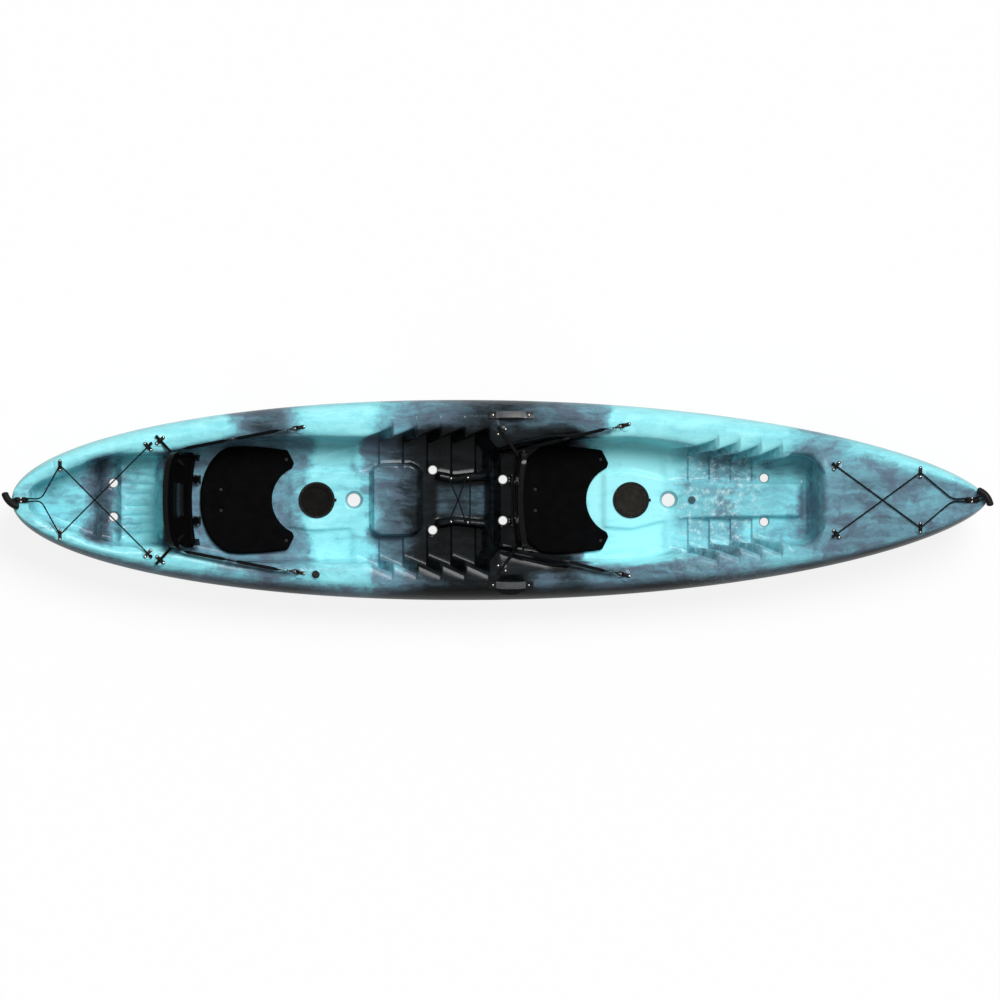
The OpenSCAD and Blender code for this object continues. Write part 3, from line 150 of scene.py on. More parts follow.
# Crest and camber of the rim, depth of the widest line below it, and where the ends begin to rise
CREST_SHARE, CAMBER, RIM_WIDTH = 0.857, 0.05, 40
BEAM_DROP, BEAM_DROP_END, STEM, END_START, SIDE_DEPTH = 115, 85, 40, 900, 190
# Fullness of the plan to both sides of its widest place, and how steeply the deck, stem and bottom rise
PLAN_POWER, BOW_FULLNESS, STERN_FULLNESS, TIP_REACH = 2.06, 0.65, 0.5, 0.9994
RISE_POWER, STEM_POWER, VEE_POWER, VEE_SHARE = 2.2, 18, 1.4, 0.6
# The recess: lean of its wall, rounding of its floor and its lip, which all shrink where it is narrow
WALL_LEAN, FLOOR_FILLET, LIP, LIP_DROP, FULL_WALL = 14, 12, 10, 7, 90
WELL_SUNK, WELL_RIM, PLATFORM_UP, THIRD_UP, RIDGE_UP = 4, 58, 14, 54, 26
RISER_HALF = 5

RECESS_PLAN = [
    (TANK_AFT, 32), (TANK_AFT + 18, 60), (TANK_AFT + 75, 88), (TANK_STEP - 16, 152), (TANK_STEP + 16, 194),
    (BULKHEAD, 198), (REAR_SEAT - 20, 226), (REAR_SEAT + 150, 262), (REAR_SEAT + 465, 268),
    (REAR_FOOT + REAR_PITCH, 262), (WELL_END, 258), (WELL_END + 36, 214), (FRONT_SEAT - 20, 226),
    (FRONT_SEAT + 150, 262), (FRONT_SEAT + 489, 264), (FRONT_FOOT - FRONT_PITCH, 252), (FRONT_FOOT, 236),
    (FRONT_FOOT + 89, 214), (FRONT_FOOT + 178, 202), (FRONT_FOOT + 267, 188), (FRONT_FOOT + 424, 176),
    (FRONT_FOOT + 445, 194), (TOE_END - 70, 190), (TOE_END - 25, 150), (TOE_END, 110)]
FLOOR_PLAN = [
    (TANK_AFT, TANK_FLOOR + 34), (TANK_AFT + 70, TANK_FLOOR + 24), (TROUGH - 50, TANK_FLOOR + 22),
    (TROUGH - 36, TANK_FLOOR - 38), (TROUGH + 34, TANK_FLOOR - 38), (TROUGH + 46, TANK_FLOOR),
    (TANK_FORE, TANK_FLOOR), (TANK_FORE + 20, FLOOR + 108), (BULKHEAD + 6, FLOOR + 108),
    (BULKHEAD + 30, FLOOR), (WELL_END - 30, FLOOR), (WELL_END - 10, FLOOR + 62), (WELL_END + 14, FLOOR + 62),
    (WELL_END + 36, FLOOR), (FRONT_FOOT_END + 90, FLOOR), (TOE_END, FLOOR + 30)]
HEEL_PLAN = [
    (REAR_FOOT - REAR_PITCH - 20, 0), (REAR_FOOT - REAR_PITCH, 1), (WELL_END - 30, 1), (WELL_END - 10, 0),
    (FRONT_FOOT - FRONT_PITCH - 20, 0), (FRONT_FOOT - FRONT_PITCH, 1), (FRONT_FOOT_END + 90, 1), (TOE_END, 0)]
CENTRE_PLAN = [
    (REAR_SEAT - 20, 60), (REAR_SEAT + 385, 84), (REAR_SEAT + 465, 98), (THIRD_SEAT - 115, 86),
    (THIRD_SEAT - 91, 102), (THIRD_SEAT - 60, 118), (THIRD_SEAT + 60, 118), (THIRD_SEAT + 91, 102),
    (THIRD_SEAT + 111, 86), (WELL_AFT - 12, 86), (WELL_AFT + 13, 82), (WELL_AFT + 75, 70),
    (WELL_END - 20, 84), (FRONT_SEAT - 20, 60), (FRONT_SEAT + 385, 84), (FRONT_SEAT + 489, 92),
    (FRONT_FOOT - 109, 60), (FRONT_FOOT, 46), (TOE_END - 110, 38)]
BOTTOM_PLAN = [(0.93, 66), (0.85, 22), (0.75, 0), (0.6, 0), (0.4, TUNNEL), (0.2, 0), (0, 0)]
CENTRE_STEPS = [0, 10, 26, 36]
# How far each corner of a half section is rounded, from the deck centre to the keel
CORNER_CUTS = [0, 8, 8, 8, 10, 12, 10, 12, 10, 30, 30, 30, 30, 25, 20, 40, 40, 30, 20, 20, 20, 20, 0]
# How many parts each edge of a half section is cut into, where the floor carries ribs
EDGE_PARTS = {0: 4, 4: 9}
# How far the corners of the plans are rounded along the boat
MOULD_SOFT = 9


def ease(a, b, x):
    """0 before a, 1 after b, and a smooth rise between."""
    t = min(1, max(0, (x - a) / (b - a)))
    return t * t * (3 - 2 * t)


def mix(a, b, t):
    return a + (b - a) * t


def window(a, b, c, d, x):
    """1 from b to c, 0 before a and after d."""
    return ease(a, b, x) * (1 - ease(c, d, x))


def read_plan(plan, x):
    if x <= plan[0][0]:
        return plan[0][1]
    for (x0, y0), (x1, y1) in zip(plan, plan[1:]):
        if x <= x1:
            return mix(y0, y1, (x - x0) / (x1 - x0))
    return plan[-1][1]


def look(plan, x, soft):
    """A plan's value at x, with its corners rounded over the length soft."""
    if not soft:
        return read_plan(plan, x)
    return sum(read_plan(plan, x + d * soft) for d in (-1, -0.5, 0, 0.5, 1)) / 5


# The hull's lines at a place x: its half width, the crest of its rim, its widest line, its ends and its keel
def half_beam(x):
    reach = min(TIP_REACH, abs(x - WIDEST) / (BOW - WIDEST if x > WIDEST else WIDEST - STERN))
    fullness = BOW_FULLNESS if x > WIDEST else STERN_FULLNESS
    return BEAM / 2 * max(0, 1 - reach ** PLAN_POWER) ** fullness


def crest_z(x):
    return DECK + (BOW_RISE if x > 0 else STERN_RISE) * (abs(x) / BOW) ** RISE_POWER


def crest_y(x):
    return CREST_SHARE * half_beam(x)


def beam_z(x):
    return crest_z(x) - mix(BEAM_DROP, BEAM_DROP_END, abs(x) / BOW)


def end_run(x):
    return max(0, (abs(x) - END_START) / (BOW - END_START))


def keel_z(x):
    return ROCKER * end_run(x) ** 2 + (beam_z(x) - STEM - ROCKER) * end_run(x) ** STEM_POWER


def saw(x, start, pitch, risers):
    """The heel steps: a slope that drops back over a short rounded riser at each step."""
    f = (x - start) / pitch + 1
    if f <= 0 or f >= risers + RISER_HALF / pitch:
        return 0
    step = round(f)
    off = (f - step) * pitch
    if step > 0 and abs(off) < RISER_HALF:
        after = RISER_HALF / pitch if step < risers else 0
        return mix(1 - RISER_HALF / pitch, after, ease(-RISER_HALF, RISER_HALF, off))
    return f % 1


def foot_saw(x):
    if x < 0:
        return saw(x, REAR_FOOT, REAR_PITCH, REAR_RISERS)
    return saw(x, FRONT_FOOT, FRONT_PITCH, FRONT_RISERS)


def sweep(x):
    """How far the wall and the rim lean forward of the floor at the heel steps."""
    rear = window(REAR_FOOT - 220, REAR_FOOT - 60, REAR_FOOT_END + 6, REAR_FOOT_END + 146, x)
    front = window(FRONT_FOOT - 280, FRONT_FOOT - 80, FRONT_FOOT_END + 8, TOE_END, x)
    return REAR_SWEEP * rear + FRONT_SWEEP * front


# How much of the recess, the third seat, the platforms, the ridge and the centre well there is at x
def recess_open(x):
    return window(TANK_AFT, TANK_AFT + 40, TOE_END - 90, TOE_END, x)


def third_seat(x):
    return window(THIRD_SEAT - 111, THIRD_SEAT - 89, THIRD_SEAT + 89, THIRD_SEAT + 111, x)


def platform(x):
    return (window(REAR_SEAT + 363, REAR_SEAT + 385, THIRD_SEAT, THIRD_SEAT + 40, x)
            + window(FRONT_SEAT + 363, FRONT_SEAT + 385, TOE_END - 130, TOE_END - 95, x))


def ridge(x):
    return window(FRONT_FOOT - 90, FRONT_FOOT + 120, TOE_END - 130, TOE_END - 95, x)


def centre_well(x):
    return window(WELL_AFT - 10, WELL_AFT + 12, WELL_END - 22, WELL_END - 8, x)


def recess_half(x, soft):
    """Half the width of the recess, which leaves a rim beside it."""
    return min(look(RECESS_PLAN, x, soft), max(0.8 * crest_y(x), crest_y(x) - RIM_WIDTH))


def centre_z(x, soft):
    base = mix(look(FLOOR_PLAN, x, soft), FLOOR - WELL_SUNK, centre_well(x))
    return base + PLATFORM_UP * platform(x) + THIRD_UP * third_seat(x) + RIDGE_UP * ridge(x)


def bottom_z(x, share, rise):
    side = beam_z(x) - keel_z(x)
    return keel_z(x) + mix(rise * side / SIDE_DEPTH, VEE_SHARE * share * side, end_run(x) ** VEE_POWER)


def half_section(s, soft=0):
    """One half section, from the deck centre out to the gunwale and down to the keel."""
    opened = recess_open(s)
    swept = s + sweep(s)
    wall_top = recess_half(swept, soft) + POCKET * foot_saw(s)
    full = min(1, wall_top / FULL_WALL)
    wall_foot = wall_top - WALL_LEAN * full
    floor_edge = wall_foot - FLOOR_FILLET * full
    plan = look(CENTRE_PLAN, s, soft)
    steps = [min(plan + step, (0.4 + 0.14 * i) * floor_edge) for i, step in enumerate(CENTRE_STEPS)]
    crown = crest_z(s) + CAMBER * half_beam(s)
    floor_z = look(FLOOR_PLAN, s, soft) + HEEL * (look(HEEL_PLAN, s, soft) - foot_saw(s))
    floor_z = mix(crown, floor_z, opened)
    middle_z = mix(crown, centre_z(s, soft), opened)
    well_z = mix(crown, mix(centre_z(s, soft), FLOOR + WELL_RIM, centre_well(s)), opened)
    lip_y, lip_z = wall_top + LIP * full, mix(crown, crest_z(swept) - LIP_DROP, opened)
    rim_y, rim_z = crest_y(swept), crest_z(swept)
    rim_x, side_x = mix(s, swept, 0.7), mix(s, swept, 0.4)
    wide_y, wide_z = half_beam(s), beam_z(s)
    points = [
        (s, 0, middle_z), (s, steps[0], middle_z), (s, steps[1], well_z), (s, steps[2], well_z),
        (s, steps[3], floor_z), (s, floor_edge, floor_z),
        (mix(s, swept, 0.1), wall_foot, mix(floor_z, lip_z, 0.08)),
        (mix(s, swept, 0.9), wall_top - 2 * full, mix(lip_z, floor_z, 0.07)),
        (swept, lip_y, lip_z), (swept, mix(lip_y, rim_y, 0.45), mix(lip_z, rim_z, 0.7) + 2 * opened),
        (swept, mix(lip_y, rim_y, 0.85), rim_z), (rim_x, crest_y(rim_x), crest_z(rim_x) - 4),
        (side_x, mix(CREST_SHARE, 1, 0.42) * half_beam(side_x), mix(crest_z(side_x), beam_z(side_x), 0.2)),
        (s, mix(CREST_SHARE, 1, 0.85) * wide_y, mix(crest_z(s), wide_z, 0.6)), (s, wide_y, wide_z),
        (s, 0.985 * wide_y, mix(wide_z, keel_z(s), 0.35))]
    points += [(s, share * wide_y, bottom_z(s, share, rise)) for share, rise in BOTTOM_PLAN]
    return [Vector(p) for p in points]


def rounded(points, cuts):
    """The same line with each corner replaced by a short curve."""
    line = [points[0]]
    for i in range(1, len(points) - 1):
        a, b, c = points[i - 1], points[i], points[i + 1]
        p = b + (a - b).normalized() * min(cuts[i], 0.45 * (a - b).length)
        q = b + (c - b).normalized() * min(cuts[i], 0.45 * (c - b).length)
        parts = EDGE_PARTS.get(i - 1, 1)
        line += [line[-1].lerp(p, j / parts) for j in range(1, parts)]
        line += [p, 0.25 * p + 0.5 * b + 0.25 * q, q]
    return line + [points[-1]]


# Low ribs moulded along the floor of the tank well, each its place across and half its width
TANK_RIBS, RIB_DEPTH, RIB_FAN = [(27, 7), (68, 7), (108, 7), (148, 8)], 8, 0.10


def tank_ribs(p):
    along = window(TROUGH + 56, TROUGH + 76, TANK_FORE - 26, TANK_FORE - 8, p.x)
    low = 1 - ease(TANK_FLOOR + 4, TANK_FLOOR + 12, p.z)
    fan = abs(p.y) * (1 + RIB_FAN * ease(TROUGH + 60, TANK_FORE, p.x))
    return along * low * sum(RIB_DEPTH * exp(-((fan - y) / half) ** 2) for y, half in TANK_RIBS)


# The two noses: their length, and the share of the section that is left at the tip
END_ROUND, END_BLUNT = 12, 0.4


def hull_ring(s):
    """A whole ring of the shell, drawn in at the two ends so that they close in a round nose."""
    half = rounded(half_section(s, MOULD_SOFT), CORNER_CUTS)
    for p in half:
        p.z -= tank_ribs(p)
    d = min(s - STERN, BOW - s)
    if d < END_ROUND:
        grow = mix(END_BLUNT, 1, sqrt(max(0, 1 - (1 - d / END_ROUND) ** 2)))
        middle = (half[0].z + half[-1].z) / 2
        half = [Vector((p.x, p.y * grow, mix(middle, p.z, grow))) for p in half]
    return half + [Vector((p.x, -p.y, p.z)) for p in half[-2:0:-1]]


def loft(name, rings, loop=False):
    """A skin over a row of rings of points, capped at its ends or a closed loop, with UVs in metres."""
    n, m = len(rings[0]), len(rings)
    spans = m if loop else m - 1
    verts = [tuple(p * MM) for ring in rings for p in ring]
    faces = [(j * n + i, j * n + (i + 1) % n, (j + 1) % m * n + (i + 1) % n, (j + 1) % m * n + i)
             for j in range(spans) for i in range(n)]
    if not loop:
        faces += [tuple(range(n - 1, -1, -1)), tuple((m - 1) * n + i for i in range(n))]
    mesh = bpy.data.meshes.new(name)
    mesh.from_pydata(verts, [], faces)
    around = [0]
    for i in range(n):
        around.append(around[-1] + (rings[m // 2][(i + 1) % n] - rings[m // 2][i]).length * MM)
    along = [0]
    for a, b in zip(rings, rings[1:] + rings[:1]):
        along.append(along[-1] + (sum(b, Vector()) / n - sum(a, Vector()) / n).length * MM)
    uv = mesh.uv_layers.new(name="along").data
    for face in mesh.polygons:
        j, i = divmod(face.index, n)
        if j < spans:
            corners = ((j, i), (j, i + 1), (j + 1, i + 1), (j + 1, i))
            for corner, (a, b) in zip(face.loop_indices, corners):
                uv[corner].uv = (along[a], around[b])
    piece = bpy.data.objects.new(name, mesh)
    scene.collection.objects.link(piece)
    tidy_normals(piece)
    return piece


def pick(piece):
    bpy.ops.object.select_all(action="DESELECT")
    piece.select_set(True)
    bpy.context.view_layer.objects.active = piece


def tidy_normals(piece):
    pick(piece)
    bpy.ops.object.mode_set(mode="EDIT")
    bpy.ops.mesh.select_all(action="SELECT")
    bpy.ops.mesh.normals_make_consistent(inside=False)
    bpy.ops.object.mode_set(mode="OBJECT")


def smooth(piece, degrees):
    pick(piece)
    bpy.ops.object.shade_smooth_by_angle(angle=radians(degrees))


def dress(piece, material, degrees=None):
    """Gives a piece its material, and shades it smooth over edges flatter than so many degrees."""
    piece.data.materials.clear()
    piece.data.materials.append(material)
    if degrees:
        smooth(piece, degrees)


def joined(name, parts):
    bpy.ops.object.select_all(action="DESELECT")
    for part in parts:
        part.select_set(True)
    bpy.context.view_layer.objects.active = parts[0]
    bpy.ops.object.join()
    parts[0].name = name
    return parts[0]


def carve(piece, tool, operation):
    """Joins a tool to a piece or cuts it out, and removes the tool."""
    pick(piece)
    step = piece.modifiers.new("carve", "BOOLEAN")
    step.operation = operation
    step.solver = "EXACT"
    step.object = tool
    bpy.ops.object.modifier_apply(modifier=step.name)
    bpy.data.objects.remove(tool)


def turned(name, profile, frame_of, sides=48, stretch=0):
    """A turned solid from a profile of (radius, height), stood in a frame; stretch draws it out along X."""
    rings = []
    for r, z in profile:
        ring = []
        for i in range(sides):
            a = 2 * pi * (i + 0.5) / sides
            x = r * cos(a)
            ring.append(frame_of @ Vector((x + copysign(stretch, x), r * sin(a), z)))
        rings.append(ring)
    return loft(name, rings)


# The first points of a half section are the deck, and a fitting takes its slope from this far either way
DECK_POINTS, PROBE = 13, 12


def deck_z(x, y):
    """Height of the deck under a fitting."""
    h, v = half_section(x), abs(y)
    i = max(k for k in range(DECK_POINTS) if h[k].y <= v)
    return mix(h[i].z, h[i + 1].z, (v - h[i].y) / (h[i + 1].y - h[i].y))


# A fitting stands on a flat boss, this high above the deck
BOSS_RISE = 1.5


def spin(degrees, axis):
    return Matrix.Rotation(radians(degrees), 4, axis)


def on_deck(x, y):
    """The frame of a fitting that stands on the deck."""
    roll = atan2(deck_z(x, y + PROBE) - deck_z(x, y - PROBE), 2 * PROBE)
    pitch = -atan2(deck_z(x + PROBE, y) - deck_z(x - PROBE, y), 2 * PROBE)
    return (Matrix.Translation((x, y, deck_z(x, y) + BOSS_RISE)) @ Matrix.Rotation(pitch, 4, "Y")
            @ Matrix.Rotation(roll, 4, "X"))


# Sections stand close together at the ends and at the risers of the heel steps
STATION_STEP = 11.5
END_STEPS, RISER_STEPS = (0.6, 1.8, 4, 7.5), (-9, -5.5, -4, -2, 0, 2, 4, 5.5, 9)
stations = {STERN, BOW, STERN + END_ROUND, BOW - END_ROUND}
for d in END_STEPS:
    stations |= {STERN + d, BOW - d}
run = BOW - STERN - 2 * END_ROUND
count = int(run / STATION_STEP)
grid = [STERN + END_ROUND + run * i / count for i in range(1, count)]
foot_edges = [REAR_FOOT + REAR_PITCH * i for i in range(REAR_RISERS)]
foot_edges += [FRONT_FOOT + FRONT_PITCH * i for i in range(FRONT_RISERS)]
stations |= {x for x in grid if min(abs(x - e) for e in foot_edges) > RISER_STEPS[-1]}
for e in foot_edges:
    stations |= {e + d for d in RISER_STEPS}
hull = loft("hull_shell", [hull_ring(s) for s in sorted(stations)])

# Places of the fittings on the deck, and the profiles of the flat bosses they stand on, radius and height
BOW_AFT_LOOP, BOW_FORE_LOOP = (BOW - 633, 142), (BOW - 281, 116)
STERN_FORE_LOOP, STERN_AFT_LOOP = (STERN + 572, 224), (STERN + 203, 146)
STRAP_ANCHORS = [(REAR_SEAT + 417, 304), (FRONT_SEAT + 464, 314)]
STAY_ANCHORS = [(REAR_SEAT - 167, 250), (FRONT_SEAT - 52, 286)]
BOW_EYE, STERN_EYE = BOW - 65, STERN + 39
DRAIN, DECK_PLUG = (REAR_SEAT + 485, -312), (FRONT_SEAT + 744, 0)
SIDE_HANDLE, HANDLE_SCREW = (FRONT_SEAT - 14, 354), 75
LOOP_BOSS, EYE_BOSS = [(28, -10), (25.5, -1), (24, 0)], [(15, -10), (13.5, -1), (12.5, 0)]
PLUG_BOSS, HANDLE_BOSS = [(24, -10), (21, -1), (19.5, 0)], [(20, -11), (17.5, -1), (16.5, 0)]
EYE_STRETCH = 19
bosses = []
for x, y in [BOW_AFT_LOOP, BOW_FORE_LOOP, STERN_FORE_LOOP, STERN_AFT_LOOP] + STRAP_ANCHORS + STAY_ANCHORS:
    bosses += [turned("boss", LOOP_BOSS, on_deck(x, side * y)) for side in (1, -1)]
for x in (BOW_EYE, STERN_EYE):
    bosses.append(turned("boss", EYE_BOSS, on_deck(x, 0), stretch=EYE_STRETCH))
for x, y in (DRAIN, DECK_PLUG):
    bosses.append(turned("boss", PLUG_BOSS, on_deck(x, y)))
handle_frames = {side: on_deck(SIDE_HANDLE[0], side * SIDE_HANDLE[1]) for side in (1, -1)}
for place in handle_frames.values():
    for end in (HANDLE_SCREW, -HANDLE_SCREW):
        bosses.append(turned("boss", HANDLE_BOSS, place @ Matrix.Translation((end, 0, 1))))
carve(hull, joined("bosses", bosses), "UNION")

# Scupper tubes widen towards the deck, in proportion to the square of the bore; the hatch holes open into a
# round room below the deck, and each side handle has a finger pocket, a shallow trough across the rim
MAIN_BORE, SIDE_BORE, MOUTH_FLARE = 27, 17, 0.012
SCUPPERS = [(seat + 645, 0, MAIN_BORE) for seat in SEATS.values()]
for x, y in ((TROUGH + 20, 71), (GUTTER + 19, 126), (FRONT_SEAT - 48, 86), (FRONT_FOOT_END + 52, 92)):
    SCUPPERS += [(x, y, SIDE_BORE), (x, -y, SIDE_BORE)]
HATCH_OFFSET, HATCH_HOLE = 489, 61.5
HATCH_PROFILE = [(100, 22), (108, 28), (108, 92), (100, 100), (HATCH_HOLE, 104), (HATCH_HOLE, 150)]
DRAIN_PROFILE = [(10.3, -32), (10.3, 12)]
FINGER_R, FINGER_DEPTH, FINGER_IN, FINGER_OUT = 101.9, 26, 40, 80
cutters = []
for x, y, r in SCUPPERS:
    z, wide = deck_z(x, y), r + MOUTH_FLARE * r * r
    profile = [(r + 3, -20), (r + 3, 1), (r + 0.8, 4), (r, 8), (r, 0.4 * z), ((r + wide) / 2, 0.75 * z),
               (wide, z - 7), (wide + 0.8, z - 3.5), (wide + 2.2, z - 1.2), (wide + 4.5, z + 0.6),
               (wide + 5, z + 40)]
    cutters.append(turned("cutter", profile, Matrix.Translation((x, y, 0))))
for seat in SEATS.values():
    cutters.append(turned("cutter", HATCH_PROFILE, Matrix.Translation((seat + HATCH_OFFSET, 0, 0)), 72))
cutters.append(turned("cutter", DRAIN_PROFILE, on_deck(*DRAIN), 32))
lying = Matrix.Translation((0, 0, FINGER_R - FINGER_DEPTH)) @ spin(-90, "X")
for side, place in handle_frames.items():
    low, high = (-FINGER_IN, FINGER_OUT) if side > 0 else (-FINGER_OUT, FINGER_IN)
    cutters.append(turned("cutter", [(FINGER_R, low), (FINGER_R, high)], place @ lying, 96))
carve(hull, joined("cutters", cutters), "DIFFERENCE")
tidy_normals(hull)
smooth(hull, 42)

# "rim" is where a point of the shell lies across the boat: 0 in the cockpit and on the deck centre, 1 out on
# the rim. A second attribute shifts its tone. The plastic came out paler on the floor of the centre well. The
# gunwale band is painted paler on port as a painted highlight, and darker on starboard as painted shade.
rim = hull.data.attributes.new("rim", "FLOAT", "POINT")
tone_shift_and_painted_light = hull.data.attributes.new("tone_shift_and_painted_light", "FLOAT", "POINT")
# The port and starboard values are painted light: a painted highlight on the port gunwale, painted shade on
# the starboard one
WELL_SHIFT, WELL_EDGE, PORT_PAINTED_HIGHLIGHT, STARBOARD_PAINTED_SHADE = -0.27, (62, 80), -0.06, 0.30
# Where the cockpit's black spills over the rim, and how far past the lip its tone reaches and fades, without
# and with the spill
SPILL, TONE_REACH, TONE_FADE = (-450, -300, 300, 420), (-10, 16), (22, 72)
lips = {x: recess_half(x, MOULD_SOFT) for x in range(STERN - 2, BOW + 3)}
for v, out in zip(hull.data.vertices, rim.data):
    x, y = int(v.co.x / MM), abs(v.co.y) / MM
    deck_edge = ease(0.5 * half_beam(x), 0.86 * half_beam(x), y)
    spill = window(*SPILL, x)
    edge = ease(lips[x] + mix(*TONE_REACH, spill), lips[x] + mix(*TONE_FADE, spill), y)
    out.value = mix(deck_edge, edge, recess_open(x))
# Painted light on the gunwale band: a painted highlight on the port flank, painted shade on the starboard
# flank
for v, out in zip(hull.data.vertices, tone_shift_and_painted_light.data):
    x, y, z = v.co / MM
    painted_light_band = ease(0.85 * half_beam(x), 0.96 * half_beam(x), abs(y)) * ease(beam_z(x) - 90, beam_z(x) - 20, z)
    out.value = WELL_SHIFT * centre_well(x) * (1 - ease(*WELL_EDGE, abs(y)))
    out.value += painted_light_band * (PORT_PAINTED_HIGHLIGHT if y > 0 else STARBOARD_PAINTED_SHADE)


def finish(name, roughness, shine=0.5, metal=0.0):
    """A new material: its tree, its shader and the place of a point on the piece."""
    material = bpy.data.materials.new(name)
    material.use_nodes = True
    tree = material.node_tree
    shader = tree.nodes["Principled BSDF"]
    for key, value in (("Roughness", roughness), ("Specular IOR Level", shine), ("Metallic", metal)):
        shader.inputs[key].default_value = value
    return material, tree, shader, add(tree, "TexCoord").outputs["Object"]


def ramp(factor, stops):
    """A colour ramp; a stop is a place and a grey or a colour."""
    n = add(factor.id_data, "ValToRGB", Fac=factor)
    elements = n.color_ramp.elements
    while len(elements) < len(stops):
        elements.new(1)
    for e, (position, colour) in zip(elements, stops):
        e.position = position
        e.color = (colour, colour, colour, 1) if isinstance(colour, (int, float)) else (*colour, 1)
    return n.outputs["Color"]


def mapped(value, low, high, to_low=0.0, to_high=1.0):
    """A value's run from low to high, laid over the run from to_low to to_high."""
    runs = {"From_Min": low, "From_Max": high, "To_Min": to_low, "To_Max": to_high}
    return add(value.id_data, "MapRange", Value=value, **runs).outputs[0]


def noise(place, scale, detail, rough=0.55):
    grain = {"Scale": scale, "Detail": detail, "Roughness": rough}
    return add(place.id_data, "TexNoise", Vector=place, **grain).outputs[0]


def wire(shader, **sockets):
    """Links outputs to a shader's sockets."""
    for key, value in sockets.items():
        shader.id_data.links.new(value, shader.inputs[key.replace("_", " ")])


def bumped(shader, height, distance, strength):
    bump = add(shader.id_data, "Bump", Height=height, Distance=distance, Strength=strength)
    wire(shader, Normal=bump.outputs[0])


# Most of a noise lies in this run
NOISE_RUN = (0.3, 0.7)

# Tone runs from 0, pale turquoise, through grey-blue to 1, black; each stop is a place along the boat, in
# metres, and the tone there
# The cockpit stops at -1.70 and -1.65 m darken the trough of the tank well as painted shade
COCKPIT_TONES = [
    (-2.0, 0.20), (-1.74, 0.22), (-1.70, 0.62), (-1.65, 0.66), (-1.61, 0.24), (-1.44, 0.14), (-1.40, 0.42),
    (-1.25, 0.42), (-1.0, 0.46), (-0.90, 0.44), (-0.80, 0.34), (-0.75, 0.08), (-0.56, 0.14), (-0.52, 0.48),
    (-0.43, 0.62), (-0.37, 0.84), (-0.30, 0.96), (0.30, 0.92), (0.36, 0.50), (0.40, 0.0), (0.67, 0.0),
    (0.76, 0.22), (0.85, 0.30), (1.02, 0.32), (1.10, 0.23), (1.20, 0.25), (1.28, 0.35), (1.40, 0.43),
    (1.60, 0.46), (1.85, 0.42)]
# The port stops near the bow are set pale as a painted highlight on the lit edge
PORT_TONES = [
    (-2.0, 0.12), (-1.67, 0.07), (-1.15, 0.12), (-1.09, 0.46), (-1.00, 0.70), (-0.90, 0.62), (-0.84, 0.34),
    (-0.79, 0.12), (-0.54, 0.12), (-0.48, 0.32), (-0.33, 0.52), (-0.20, 0.60), (-0.08, 0.74), (0.09, 0.78),
    (0.19, 0.64), (0.34, 0.56), (0.41, 0.44), (0.44, 0.08), (1.17, 0.10), (1.25, 0.32), (1.38, 0.40),
    (1.55, 0.18), (1.8, 0.14)]
# The starboard stops toward the bow run darker than the port ones, partly swirl and partly painted shade of
# the side turned from the lamp
STARBOARD_TONES = [
    (-2.0, 0.18), (-1.46, 0.14), (-1.25, 0.22), (-1.09, 0.36), (-0.96, 0.46), (-0.83, 0.34), (-0.71, 0.18),
    (-0.54, 0.20), (-0.48, 0.36), (-0.37, 0.54), (-0.29, 0.74), (-0.18, 0.88), (0.09, 0.90), (0.17, 0.72),
    (0.23, 0.58), (0.31, 0.68), (0.38, 0.56), (0.50, 0.52), (0.76, 0.50), (0.97, 0.42), (1.13, 0.32),
    (1.26, 0.36), (1.47, 0.46), (1.8, 0.42)]
WORN_PLACES = [(0.70, 0.0), (0.80, 1.0), (1.06, 1.0), (1.16, 0.0)]
PLASTIC_TONES = [
    (0.0, (0.37, 0.89, 0.94)), (0.16, (0.25, 0.71, 0.78)), (0.3, (0.18, 0.49, 0.57)),
    (0.42, (0.15, 0.31, 0.39)), (0.54, (0.085, 0.155, 0.195)), (0.68, (0.034, 0.055, 0.070)),
    (0.82, (0.010, 0.014, 0.017)), (1.0, (0.002, 0.0024, 0.0028))]
PLUM, SCUFFED = (0.105, 0.130, 0.190, 1), (0.55, 0.78, 0.80, 1)
# How far the colours drift from their places, and the noises laid over the tone: how each is drawn out along
# the boat, its scale, detail, roughness and strength
DRIFT = (0.30, 0.14, 0.14)
TONE_NOISES = [
    ((1.1, 6.5, 5.0), 3.4, 7, 0.66, 0.19), ((1, 1, 1), 13, 8, 0.7, 0.14), ((1.6, 17, 12), 2.6, 6, 0.6, 0.09)]
swirl, tree, shader, at = finish("swirled_polyethylene", 0.36, 0.15)
drift = add(tree, "TexNoise", Vector=at, Scale=3.2, Detail=6, Roughness=0.62).outputs["Color"]
drift = add(tree, "VectorMath", {"operation": "MULTIPLY_ADD"}, _0=drift, _1=DRIFT,
            _2=[-d / 2 for d in DRIFT]).outputs[0]
flow = add(tree, "VectorMath", {"operation": "ADD"}, _0=at, _1=drift).outputs[0]
parts = add(tree, "SeparateXYZ", Vector=flow).outputs
along = mapped(parts["X"], STERN * MM, BOW * MM)
port = mapped(parts["Y"], -0.08, 0.08)
on_rim = add(tree, "Attribute", {"attribute_name": "rim"}).outputs["Fac"]


def tones_along(pairs):
    return ramp(along, [((x - STERN * MM) / (2 * BOW * MM), tone) for x, tone in pairs])


rims = mixed(port, tones_along(STARBOARD_TONES), tones_along(PORT_TONES))
tone = mixed(on_rim, tones_along(COCKPIT_TONES), rims)
